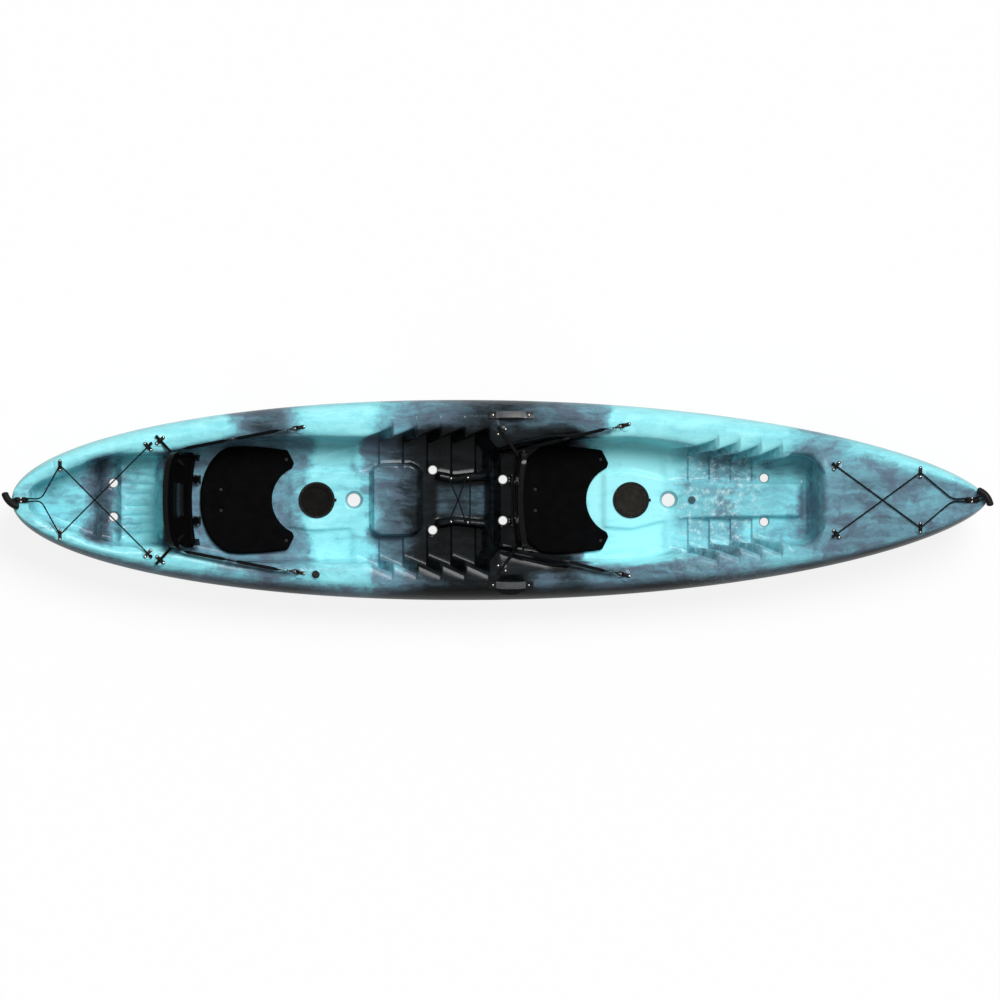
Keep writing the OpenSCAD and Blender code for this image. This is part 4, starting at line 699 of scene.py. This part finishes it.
# The added tone shift carries the painted highlight and painted shade of the gunwales
tone = maths("ADD", tone, add(tree, "Attribute", {"attribute_name": "tone_shift_and_painted_light"}).outputs["Fac"])
for draw, scale, detail, rough, strength in TONE_NOISES:
    drawn = add(tree, "Mapping", Vector=flow, Scale=draw).outputs[0]
    layer = mapped(noise(drawn, scale, detail, rough), *NOISE_RUN, -0.5, 0.5)
    tone = maths("MULTIPLY_ADD", layer, strength, tone)
plastic = ramp(tone, PLASTIC_TONES)
plum = ramp(noise(flow, 6.5, 6, 0.62), [(0.46, 0.0), (0.60, 0.6)])
greys = ramp(tone, [(0.18, 0.0), (0.33, 1.0), (0.58, 1.0), (0.74, 0.0)])
plastic = mixed(maths("MULTIPLY", plum, greys), plastic, PLUM)
speckle = ramp(noise(at, 42, 6, 0.72), [(0.50, 0.0), (0.64, 1.0)])
worn = maths("MULTIPLY", tones_along(WORN_PLACES), speckle)
worn = maths("MULTIPLY", worn, mapped(on_rim, 0.0, 1.0, 0.75, 0.15))
plastic = mixed(worn, plastic, SCUFFED)
polish = mapped(noise(at, 5, 6), *NOISE_RUN, 0.12, 0.22)
wire(shader, Base_Color=plastic, Roughness=polish)
bumped(shader, noise(at, 420, 2), 0.0003, 0.25)
dress(hull, swirl)
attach(hull, "hull")
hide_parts("hull")

# Moulded black fittings: deck loops, seat anchors, end eyes, lashing buttons, hinge brackets and the drain.
# They are glass-filled nylon from a polished mould, screwed down on flat bosses of the deck. The round plug
# in the ridge is pressed in, and grey.
def spread(at, scale, low, high):
    """Small changes of gloss over a moulded surface."""
    return mapped(noise(at, scale, 5), *NOISE_RUN, low, high)


def mottled(at, scale, detail, dark, light):
    """A colour that drifts between two tones over a piece."""
    return ramp(noise(at, scale, detail), [*zip(NOISE_RUN, (dark, light))])


def times(colour, factor):
    return [factor * c for c in colour]


def cover(nodes, material):
    for name in nodes:
        dress(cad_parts[name], material)


def moulded(name, colour, low, high, grain_scale=900, grain_depth=0.0002, shine=0.2):
    material, _, shader, at = finish(name, high, shine)
    shade = mottled(at, 30, 4, times(colour, 0.8), times(colour, 1.25))
    wire(shader, Base_Color=shade, Roughness=spread(at, 60, low, high))
    bumped(shader, noise(at, grain_scale, 2), grain_depth, 0.4)
    return material


nylon = moulded("black_nylon", (0.004, 0.004, 0.0044), 0.24, 0.40)
cover(["bow_deck_loops", "stern_deck_loops", "rear_seat_anchors", "front_seat_anchors", "lashing_buttons",
       "bow_eye", "stern_eye", "rear_hinge_brackets", "front_hinge_brackets", "drain_housing", "drain_plug"],
      nylon)
cover(["deck_plug"], moulded("grey_plug", (0.055, 0.098, 0.122), 0.3, 0.45))

# Fasteners and hooks: stainless screws and hinge pins, tumbled bright, with faint marks from the driver
# and from salt water; the hatch screws, the pad rivets and the snap hooks of the straps are blackened.
steel, _, shader, at = finish("stainless_steel", 0.28, metal=1.0)
wire(shader, Base_Color=mottled(at, 220, 5, (0.42, 0.42, 0.42), (0.68, 0.68, 0.67)),
     Roughness=spread(at, 300, 0.2, 0.4))
cover(["deck_screws", "hinge_bracket_screws", "side_handle_screws", "rear_hinge_pins", "front_hinge_pins"],
      steel)
blacked = moulded("blackened_steel", (0.012, 0.012, 0.012), 0.22, 0.36, 400, 0.0001, 0.3)
cover(["hatch_ring_screws", "strap_hooks", "seat_pad_rivets"], blacked)

# Hatches: a black ring screwed to the deck, a rubber ring under a turned cover, and the cover itself,
# a warm black disc whose face is cut with fine rings from the mould.
# How fast the rings follow each other, in radians a metre
RING_RATE = 900


def ringed(name, x, colour):
    """The face of a cover at x, with rings round its middle."""
    material, tree, shader, at = finish(name, 0.42, 0.05)
    centred = add(tree, "Mapping", Vector=at, Location=(-x * MM, 0, 0), Scale=(1, 1, 0)).outputs[0]
    away = add(tree, "VectorMath", {"operation": "LENGTH"}, _0=centred).outputs["Value"]
    rings = maths("SINE", maths("MULTIPLY", away, RING_RATE))
    shade = mottled(at, 40, 6, times(colour, 0.7), times(colour, 1.4))
    wire(shader, Base_Color=shade, Roughness=spread(at, 90, 0.36, 0.52))
    bumped(shader, rings, 0.0003, 0.5)
    return material


HATCH_COLOURS = {"rear": (0.0045, 0.0040, 0.0032), "front": (0.0170, 0.0155, 0.0130)}
for name, x in SEATS.items():
    cover([name + "_hatch_cover"], ringed(name + "_hatch_face", x + HATCH_OFFSET, HATCH_COLOURS[name]))
cover(["rear_hatch_ring", "front_hatch_ring"], nylon)
rubber = moulded("seal_rubber", (0.005, 0.005, 0.005), 0.55, 0.7)
cover(["rear_hatch_seal", "front_hatch_seal", "drain_seal"], rubber)

# Seat pads: cut from closed-cell foam with a rounded edge and a shallow dish, faced with a fine knit and
# riveted to the floor, notched at the front to clear the hatch.
PAD_LENGTH, PAD_HALF, PAD_THICK, PAD_ROUND = 396, 226, 24, 150
LOBE_HALF, LOBE_START = PAD_HALF - 20, PAD_LENGTH - 34
# Corner of the lobe beside the notch, as steps in from its end and its side
LOBE_CORNER = [(28, 0), (24, 6), (17, 20), (10, 34), (4, 46), (2, 54)]
NOTCH_AHEAD, NOTCH_HALF, NOTCH_R = 54, 138, 148
NOTCH_X, NOTCH_FROM = PAD_LENGTH + NOTCH_AHEAD, 180 - degrees(atan2(NOTCH_HALF, NOTCH_AHEAD))
# How far the round back edge turns before the sides begin, and steps of the back, a side and half the notch
BACK_TURN, BACK_STEPS, SIDE_STEPS, NOTCH_STEPS = 78.75, 16, 12, 18


def pad_outline():
    side = []
    for i in range(BACK_STEPS + 1):
        a = radians(BACK_TURN * i / BACK_STEPS)
        side.append((PAD_ROUND * (1 - cos(a)), PAD_HALF * sin(a)))
    for i in range(1, SIDE_STEPS + 1):
        t = i / SIDE_STEPS
        side.append((mix(PAD_ROUND, LOBE_START, t), mix(PAD_HALF, LOBE_HALF + 4, t * t)))
    side += [(PAD_LENGTH - x, LOBE_HALF - y) for x, y in LOBE_CORNER]
    for i in range(1, NOTCH_STEPS + 1):
        a = radians(mix(NOTCH_FROM, 180, i / NOTCH_STEPS))
        side.append((NOTCH_X + NOTCH_R * cos(a), NOTCH_R * sin(a)))
    line = [Vector((x, y, 0)) for x, y in side]
    return line + [Vector((p.x, -p.y, 0)) for p in line[-2:0:-1]]


def heading(line, i, closed=False):
    """The way a line runs at its point i."""
    ahead = (i + 1) % len(line) if closed else min(i + 1, len(line) - 1)
    return (line[ahead] - line[i - 1 if closed else max(i - 1, 0)]).normalized()


def inset(line, d):
    """A closed outline drawn in by d."""
    ways = [heading(line, i, True) for i in range(len(line))]
    return [p + d * Vector((t.y, -t.x, 0)) for p, t in zip(line, ways)]


# Rings of the pad's edge, from the floor up: how far in, and the share of the thickness
PAD_RINGS = [(5, 0), (1.5, 0.06), (0, 0.3), (0.5, 0.55), (2, 0.72), (5, 0.87), (8.5, 0.95), (12, 1.0)]
PAD_RIVETS = [(88, 44), (88, -44), (LOBE_START, 170), (LOBE_START, -170)]
PAD_VOXEL, RIVET_DIMPLE = 0.004, 3.4
# The dish that a sitter presses in: its depth, its middle, and its half length and half width
DISH, DISH_X, DISH_LONG, DISH_WIDE = 2.0, 170, 110, 130
PAD_OUTLINE = pad_outline()
foam, tree, shader, at = finish("knit_faced_foam", 0.9, 0.03)
wire(shader, Base_Color=mottled(at, 24, 6, (0.0016, 0.0016, 0.0018), (0.0032, 0.0032, 0.0036)))
knit = add(tree, "TexVoronoi", Vector=at, Scale=700).outputs["Distance"]
bumped(shader, knit, 0.0003, 0.5)
for name, x in SEATS.items():
    rings = []
    for d, share in PAD_RINGS:
        place = Vector((x, 0, FLOOR + share * PAD_THICK))
        rings.append([p + place for p in inset(PAD_OUTLINE, d)])
    pad = loft(name + "_pad", rings)
    pick(pad)
    pad.data.remesh_voxel_size = PAD_VOXEL
    bpy.ops.object.voxel_remesh()
    soften = pad.modifiers.new("soften", "SMOOTH")
    soften.factor, soften.iterations = 0.5, 4
    bpy.ops.object.modifier_apply(modifier=soften.name)
    for v in pad.data.vertices:
        p = v.co / MM - Vector((x, 0, FLOOR))
        if p.z > 0.7 * PAD_THICK:
            sunk = DISH * exp(-((p.x - DISH_X) / DISH_LONG) ** 2 - (p.y / DISH_WIDE) ** 2)
            sunk += sum(RIVET_DIMPLE * (1 - ease(8.5, 15, hypot(p.x - a, p.y - b))) for a, b in PAD_RIVETS)
            v.co.z -= sunk * MM
    dress(pad, foam, 60)
    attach(pad, "hull")
    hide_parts(name + "_seat_pad")

# Backrests: blow-moulded black panels, bent to the back, with a rolled rim and a window, hinged at the floor.
# Every edge leaves the mould rounded, so a copy of each panel is welded and its edges are rolled over.
WELD = 0.00001


def welded_copy(node, flat):
    """A loose copy of a CAD piece in its place, with its triangles merged back into flat faces."""
    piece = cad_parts[node].copy()
    piece.data = piece.data.copy()
    scene.collection.objects.link(piece)
    place = piece.matrix_world.copy()
    piece.parent = None
    piece.matrix_world = Matrix.Identity(4)
    piece.data.transform(place)
    pick(piece)
    bpy.ops.object.mode_set(mode="EDIT")
    bpy.ops.mesh.select_all(action="SELECT")
    bpy.ops.mesh.remove_doubles(threshold=WELD)
    bpy.ops.mesh.dissolve_limited(angle_limit=radians(flat))
    bpy.ops.object.mode_set(mode="OBJECT")
    return piece


def roll_edges(piece, name, width, material, segments, corner, shade):
    """Names a copy, rounds its edges sharper than corner degrees, and gives it its finish."""
    pick(piece)
    piece.name = name
    edge = piece.modifiers.new("edge", "BEVEL")
    edge.width, edge.segments, edge.limit_method, edge.angle_limit = width, segments, "ANGLE", radians(corner)
    bpy.ops.object.modifier_apply(modifier=edge.name)
    dress(piece, material, shade)


def softened(node, name, width, material):
    piece = welded_copy(node, 1)
    roll_edges(piece, name, width, material, segments=3, corner=40, shade=35)
    return piece


gloss = moulded("polished_black", (0.0024, 0.0024, 0.0026), 0.10, 0.2, 500, 0.0001, 0.16)
for node in ("rear_backrest", "front_backrest"):
    panel = softened(node, node + "_panel", 0.0025, gloss)
    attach(panel, node)
    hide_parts(node)

# Carry handles at the sides: a grey strap moulded in nylon over a finger pocket in the rim.
# Each is screwed down at both ends, which are black.
# The black begins and is full this far from a handle's middle, in metres
HANDLE_END, HANDLE_END_COLOUR = (0.060, 0.063), (0.006, 0.006, 0.006, 1)
grey, tree, shader, at = finish("grey_nylon", 0.42, 0.25)
out = add(tree, "Mapping", Vector=at, Location=(-SIDE_HANDLE[0] * MM, 0, 0)).outputs[0]
out = maths("ABSOLUTE", add(tree, "SeparateXYZ", Vector=out).outputs["X"])
shade = mottled(at, 60, 5, (0.065, 0.07, 0.074), (0.10, 0.105, 0.11))
shade = mixed(mapped(out, *HANDLE_END), shade, HANDLE_END_COLOUR)
wire(shader, Base_Color=shade, Roughness=spread(at, 80, 0.3, 0.46))
for side in ("port", "starboard"):
    handle = softened("side_handle_" + side, "handle_" + side, 0.0018, grey)
    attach(handle, "hull")
    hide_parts("side_handle_" + side)

# Seat straps and stays: woven polypropylene webbing, folded round the lug and the hook's eye and sewn,
# with a moulded slide half way along.
UP = Vector((0, 0, 1))
HINGE_BACK, HINGE_Z, HINGE_Y, BACK_R, BACK_WIDTH = 8, FLOOR + 20, 86, 900, 400
LUG_Y, SLOT_Y, LEANS = BACK_WIDTH / 2 + 7, BACK_WIDTH / 2 - 28, {"rear": 26, "front": -7}
CORD_RISE, HOOK_START, HOOK_ARM, HOOK_TILT, HOOK_EYE = 8, 5, 36, 25, 14
HOOK_RISE, HOOK_RUN = HOOK_ARM * tan(radians(HOOK_TILT)), HOOK_START + HOOK_ARM + HOOK_EYE - 2
STRAP_WIDTH, STRAP_THICK, FOLD, SLIDE_SHARE, SLIDE_NEAR = 20, 2, 4.3, 0.48, 50
# A strap is twisted on both sides of its slide, and flat in it and where it is sewn
TWIST, TWISTED = 42, [(0.03, 0.09, 0.40, 0.45), (0.51, 0.56, 0.88, 0.95)]
# The sewn tail of a strap beside its fold, as steps along and off its middle line
SEWN_TAIL = [(46, 2.2), (34, 2.2), (26, 1.6), (16, -2.2), (8, -FOLD)]
# Half thickness of a stay along its length: double at the ends, where it is folded and sewn
STAY_WIDTH, STAY_THICK = 12, [3.0, 3.0, 1.2] + [1.0] * 17 + [1.2, 2.8, 2.8]
# The weave across the band and along it, in radians a metre
WARP, WEFT = 3600, 2800


def back_bow(y):
    return sqrt(BACK_R ** 2 - HINGE_Y ** 2) - sqrt(BACK_R ** 2 - y ** 2)


def on_back(x, lean, y, z):
    """The place on a leaning backrest that is y from the middle and z above the ground."""
    bow, t = back_bow(y), radians(lean)
    up = (z - HINGE_Z - bow * sin(t)) / cos(t)
    return Vector((x - HINGE_BACK + bow * cos(t) - up * sin(t), y, z))


def ribbon(name, line, width, thick, twists):
    """Webbing on edge along a level line: a flat band, soft at its edges, with its twist at each point."""
    w, t = width / 2, thick / 2
    outline = [(t, -w + 1), (t, 0), (t, w - 1), (0.4 * t, w), (-0.4 * t, w),
               (-t, w - 1), (-t, 0), (-t, -w + 1), (-0.4 * t, -w), (0.4 * t, -w)]
    rings = []
    for i, twist in enumerate(twists):
        c, k = cos(radians(twist)), sin(radians(twist))
        n = UP.cross(heading(line, i)).normalized()
        flat, wide = n * c - UP * k, UP * c + n * k
        rings.append([line[i] + flat * a + wide * b for a, b in outline])
    return loft(name, rings)


def strap_run(length):
    """The middle line of a strap, as steps along and across: tail, fold, run, fold and tail."""
    turn = [(FOLD * sin(radians(a)), FOLD * cos(radians(a))) for a in range(0, 181, 30)]
    run = SEWN_TAIL + [(-a, -b) for a, b in turn] + [(mix(6, length - 6, i / 40), FOLD) for i in range(41)]
    return run + [(length + a, b) for a, b in turn] + [(length - a, b) for a, b in SEWN_TAIL[::-1]]


def stay_band(name, slot, out, marks, flip):
    """A stay lying flat along its way out of the slot, with a ring at each mark."""
    w = STAY_WIDTH / 2
    sideways = out.cross(UP) * flip
    rings = []
    for mark, t in zip(marks, STAY_THICK):
        outline = [(t, -w + 1), (t, w - 1), (0.3 * t, w), (-0.3 * t, w),
                   (-t, w - 1), (-t, -w + 1), (-0.3 * t, -w), (0.3 * t, -w)]
        rings.append([(slot + out * mark) * flip + UP * a + sideways * b for a, b in outline])
    return loft(name, rings)


def on_map(tree):
    """A point's place on its piece's own map: X along it and Y round it, in metres."""
    return add(tree, "SeparateXYZ", Vector=add(tree, "TexCoord").outputs["UV"]).outputs


woven, tree, shader, _ = finish("woven_webbing", 0.7, 0.1)
uv = on_map(tree)
warp = maths("SINE", maths("MULTIPLY", uv["Y"], WARP))
weft = maths("SINE", maths("MULTIPLY", uv["X"], WEFT))
weave = maths("MULTIPLY", warp, weft)
wire(shader, Base_Color=ramp(weave, [(0.0, (0.002, 0.002, 0.0022)), (1.0, (0.008, 0.008, 0.0085))]))
bumped(shader, weave, 0.0004, 0.6)

# The four slides are one CAD piece, so its copy is parted
welded_copy("strap_adjusters", 2)
bpy.ops.object.mode_set(mode="EDIT")
bpy.ops.mesh.separate(type="LOOSE")
bpy.ops.object.mode_set(mode="OBJECT")
slides = list(bpy.context.selected_objects)
for i, slide in enumerate(slides):
    roll_edges(slide, f"strap_slide_{i}", 0.0012, nylon, segments=2, corner=30, shade=40)

for (name, seat_x), (ax, ay), (sx, sy) in zip(SEATS.items(), STRAP_ANCHORS, STAY_ANCHORS):
    z = deck_z(ax, ay) + BOSS_RISE + CORD_RISE + HOOK_RISE
    lug = on_back(seat_x, LEANS[name], LUG_Y, z)
    way = Vector((ax - lug.x, ay - lug.y, 0))
    length = way.length - HOOK_RUN
    way.normalize()
    across = Vector((-way.y, way.x, 0))
    run = strap_run(length)
    shares = [a / length if b == FOLD else 0 for a, b in run]
    twist = [TWIST * sum(window(*part, u) for part in TWISTED) for u in shares]
    stay_z = deck_z(sx, sy) + BOSS_RISE + CORD_RISE
    slot = on_back(seat_x, LEANS[name], SLOT_Y, stay_z)
    out = Vector((sx - slot.x, sy - slot.y, 0))
    reach = out.length
    out.normalize()
    ends = {}
    for side, mirror in (("port", 1), ("starboard", -1)):
        flip = Vector((1, mirror, 1))
        line = [(lug + way * a + across * b) * flip for a, b in run]
        strap = ribbon(f"{name}_webbing_{side}", line, STRAP_WIDTH, STRAP_THICK, [mirror * t for t in twist])
        dress(strap, woven, 50)
        start, end = (lug + way * (0.5 * length)) * flip * MM, (lug + way * 6) * flip * MM
        ends[side] = (start, end)
        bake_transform(strap)
        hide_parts(f"{name}_strap_{side}")

        low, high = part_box(f"{name}_stay_{side}")
        tail = min(abs(low[1]), abs(high[1])) / MM
        back = (slot.y - tail) / max(0.05, out.y)
        marks = [-back + 2, -back + 12, -back + 16] + [mix(-back + 20, reach + 12, i / 16) for i in range(17)]
        marks += [reach + 16, reach + 20, reach + 27]
        stay = stay_band(f"{name}_stay_webbing_{side}", slot, out, marks, flip)
        dress(stay, woven, 50)
        start, end = (slot + out * (reach - 4)) * flip * MM, (slot + out * 10) * flip * MM
        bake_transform(stay)
        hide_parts(f"{name}_stay_{side}")
    for slide in slides:
        middle = sum((v.co for v in slide.data.vertices), Vector()) / len(slide.data.vertices)
        if abs(middle.x / MM - (lug + way * SLIDE_SHARE * length).x) < SLIDE_NEAR:
            start, end = ends["port" if middle.y > 0 else "starboard"]
            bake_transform(slide)
            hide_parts("strap_adjusters")

# Deck lashings: elastic cord in a braided black sheath, laced through the deck loops in a cross and
# hooked on the end eyes, with a knot at each tail; a shorter one crosses the centre well round four buttons.
LASH_R, CORD_SIDES, CORD_STEP = 3, 16, 25
# The braid: its strands round the cord, and how fast they follow each other along it, in radians a metre
STRANDS, BRAID_RUN = 8, 1900.0
# The tail past an eye: how far out, and how fat the cord is where it is tied
KNOT = ((22, 1.6), (21, 2.0), (18, 2.25), (15, 2.1), (13, 2.2), (11.5, 1.7), (9.5, 1.0))
EYE_SPREAD, EYE_GAP = 14, 7
LOOP_BEND, APEX_BEND, BEND_PARTS = 7, 25, 6
BUTTON_R, BUTTON_FOOT, BUTTONS_AFT, BUTTONS_FORE = 5, 2, WELL_AFT + 62, WELL_END - 92
# Turns of the cord round the aft buttons, in degrees, and the steps and the end of those round the fore ones
AFT_TURNS, FORE_STEP, FORE_END = (190, 170, 150, 130, 110, 85, 60, 30, 0), 12.5, 345


def circle(centre, r, u, v, sides):
    """Points round a centre in the plane of u and v."""
    turns = [2 * pi * k / sides for k in range(sides)]
    return [centre + r * (cos(a) * u + sin(a) * v) for a in turns]


def tube(name, line):
    """A cord along a line of (point, radius), with points no further apart than a step."""
    dense = [line[0]]
    for (a, ra), (b, rb) in zip(line, line[1:]):
        parts = max(1, ceil((b - a).length / CORD_STEP))
        dense += [(a.lerp(b, j / parts), mix(ra, rb, j / parts)) for j in range(1, parts + 1)]
    points = [p for p, _ in dense]
    rings = []
    for i, (p, r) in enumerate(dense):
        t = heading(points, i)
        side = t.cross(UP).normalized()
        rings.append(circle(p, r, side, side.cross(t), CORD_SIDES))
    return loft(name, rings)


def bend(a, b, c, r):
    """The corner of a line at b, rounded over the length r to both sides."""
    p, q = b + (a - b).normalized() * r, b + (c - b).normalized() * r
    shares = [i / BEND_PARTS for i in range(BEND_PARTS + 1)]
    return [(1 - t) ** 2 * p + 2 * t * (1 - t) * b + t * t * q for t in shares]


def knot(p, q):
    """The tail of a cord past its loop at p, on the side away from q."""
    u = Vector((p.x - q.x, p.y - q.y, 0)).normalized()
    out = []
    for d, fat in KNOT:
        x, y = p.x + d * u.x, p.y + d * u.y
        z = max(p.z, deck_z(x, abs(y)) + BOSS_RISE + 1 + fat * LASH_R) if fat > 1 else p.z
        out.append((Vector((x, y, z)), fat * LASH_R))
    return out


def over_loop(x, y):
    """Where a cord lies in a deck loop."""
    return Vector((x, y, deck_z(x, y) + BOSS_RISE + CORD_RISE))


def crossed_lashing(name, outer, inner, apex_x, eye_x, cross_z):
    """A cord from knot to knot: across the deck, through the inner loops and round the end eye."""
    way = 1 if eye_x > 0 else -1
    end = over_loop(eye_x, 0) + 0.8 * UP
    apex_z = deck_z(apex_x, crest_y(apex_x) * 0.8) + 9

    def half(side, lift):
        a = over_loop(outer[0], side * outer[1])
        b = over_loop(inner[0], -side * inner[1])
        c = Vector((apex_x, -side * (LASH_R + 0.4), apex_z))
        d = end + Vector((-way * EYE_GAP, -side * EYE_GAP, 0))
        t = a.y / (a.y - b.y)
        x = Vector((mix(a.x, b.x, t), 0, cross_z + lift))
        line = [a, x] + bend(x, b, c, LOOP_BEND) + bend(b, c, d, APEX_BEND)
        return knot(a, b) + [(p, LASH_R) for p in line]

    turn = []
    for i in range(9):
        a = radians(-90 + 22.5 * i)
        turn.append((end + EYE_GAP * Vector((way * (cos(a) - 1), sin(a), 0)), LASH_R))
    return tube(name, half(1, 0) + turn + half(-1, 2 * LASH_R + 1)[::-1])


def centre_lashing():
    """A cord crossed over the centre well, wound round a button at each corner."""
    z = FLOOR + WELL_RIM + BUTTON_FOOT + LASH_R + 0.5
    wrap = BUTTON_R + LASH_R + 0.3
    ax, bx = BUTTONS_AFT, BUTTONS_FORE
    ay, by = [(half_section(x)[2].y + half_section(x)[3].y) / 2 for x in (ax, bx)]
    d = Vector((bx - ax, -by - ay)).normalized()
    lead = degrees(atan2(-d.x, d.y))

    def half(side, lift):
        line = []
        for k in AFT_TURNS:
            a = radians(lead + k)
            line.append(Vector((ax + wrap * cos(a), side * (ay + wrap * sin(a)), z)))
        line.append(Vector(((ax + bx) / 2 - 6, 0, z + lift)))
        for k in range(int((FORE_END - lead) / FORE_STEP) + 1):
            a = radians(lead + FORE_STEP * k)
            line.append(Vector((bx + wrap * cos(a), side * (-by + wrap * sin(a)), z)))
        return line + [Vector((bx + wrap, -side * by, z))]

    return tube("centre_cord", [(p, LASH_R) for p in half(1, -0.2) + half(-1, 2 * LASH_R + 0.6)[::-1]])


braid, tree, shader, _ = finish("braided_sheath", 0.62, 0.1)
uv = on_map(tree)


def braid_strand(sign):
    turns = maths("MULTIPLY", uv["Y"], sign * STRANDS / (LASH_R * MM))
    return maths("SINE", maths("MULTIPLY_ADD", uv["X"], BRAID_RUN, turns))


def cross_x(outer, inner):
    """Where the two halves of a lashing cross."""
    return mix(outer[0], inner[0], outer[1] / (outer[1] + inner[1]))


plait = maths("MAXIMUM", braid_strand(1), braid_strand(-1))
wire(shader, Base_Color=ramp(plait, [(0.0, (0.0015, 0.0015, 0.002)), (1.0, (0.007, 0.007, 0.008))]))
bumped(shader, plait, 0.0004, 0.6)
bow_cross, stern_cross = cross_x(BOW_AFT_LOOP, BOW_FORE_LOOP), cross_x(STERN_FORE_LOOP, STERN_AFT_LOOP)
cords = {
    "bow_lashing": crossed_lashing("bow_cord", BOW_AFT_LOOP, BOW_FORE_LOOP, BOW - 147, BOW_EYE - EYE_SPREAD,
                                   crest_z(bow_cross) + CAMBER * half_beam(bow_cross) + 5),
    "stern_lashing": crossed_lashing("stern_cord", STERN_FORE_LOOP, STERN_AFT_LOOP, STERN + 124,
                                     STERN_EYE + EYE_SPREAD, crest_z(stern_cross) + 6),
    "centre_lashing": centre_lashing()}
for node, cord in cords.items():
    dress(cord, braid, 60)
    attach(cord, "hull")
    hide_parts(node)

# Carry toggles: a curved rubber grip moulded round a loop of cord that hangs in the end eye.
# The grip is ribbed for wet hands, and swings with its cord.
TOGGLE_LOOP, TOGGLE_LIFT, TOGGLE_TILT, TOGGLE_BEND = 8, 8, 15, 75
TOGGLE_LENGTH, TOGGLE_R, TOGGLE_CORD = 92, 15.5, 2.5
# The grip along its half length: place and share of its radius, round at the end and ribbed between
GRIP_RINGS = [
    (-1, 0.3), (-0.985, 0.48), (-0.965, 0.64), (-0.935, 0.78), (-0.9, 0.88), (-0.85, 0.96), (-0.8, 1.0)]
RIBBED, RIB_STEPS, RIB_MIDDLE, RIB_HEIGHT = 0.76, 46, 0.955, 0.025
LOOP_STEPS, LOOP_SIDES, GRIP_SIDES = 24, 14, 28
grip_rubber = moulded("grip_rubber", (0.005, 0.005, 0.005), 0.45, 0.62, 700, 0.0003, 0.15)


def toggle(name, eye_x, run, swing, turn):
    """A cord loop in an end eye, run long, and the grip across its end, swung and turned as it was left."""
    way = 1 if eye_x > 0 else -1
    x = eye_x + way * EYE_SPREAD
    base = (Matrix.Translation(over_loop(x, 0)) @ spin(swing + (0 if way > 0 else 180), "Z")
            @ spin(-TOGGLE_TILT, "Y") @ Matrix.Translation((TOGGLE_LOOP, 0, 0)))
    line = []
    for start, middle in ((90, 0), (-90, run)):
        for i in range(LOOP_STEPS + 1):
            a = radians(start + 180 * i / LOOP_STEPS)
            line.append(Vector((middle + TOGGLE_LOOP * cos(a), TOGGLE_LOOP * sin(a), 0)))
    rings = []
    for i, p in enumerate(line):
        side = heading(line, i, True).cross(UP)
        rings.append([base @ q for q in circle(p, TOGGLE_CORD, side, UP, LOOP_SIDES)])
    loop = loft(name + "_cord_loop", rings, loop=True)
    dress(loop, braid, 60)
    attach(loop, name)
    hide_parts(name + "_cord")

    centre = (base @ Matrix.Translation((run + TOGGLE_LOOP, 0, TOGGLE_LIFT)) @ spin(turn - 90, "Z")
              @ Matrix.Translation((-TOGGLE_BEND, 0, 0)))
    half_angle = TOGGLE_LENGTH / 2 / TOGGLE_BEND
    shape = GRIP_RINGS + [(mix(-RIBBED, RIBBED, i / RIB_STEPS), RIB_MIDDLE + RIB_HEIGHT * cos(pi * i))
                          for i in range(RIB_STEPS + 1)]
    shape += [(-a, r) for a, r in GRIP_RINGS[::-1]]
    rings = []
    for share, fat in shape:
        a = share * half_angle
        out = Vector((cos(a), sin(a), 0))
        rings.append([centre @ q for q in circle(out * TOGGLE_BEND, fat * TOGGLE_R, out, UP, GRIP_SIDES)])
    grip = loft(name + "_grip", rings)
    dress(grip, grip_rubber, 60)
    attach(grip, name)
    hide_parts(name)


toggle("bow_toggle", BOW_EYE, 36, 20, 110)
toggle("stern_toggle", STERN_EYE, 21, 12, 124)
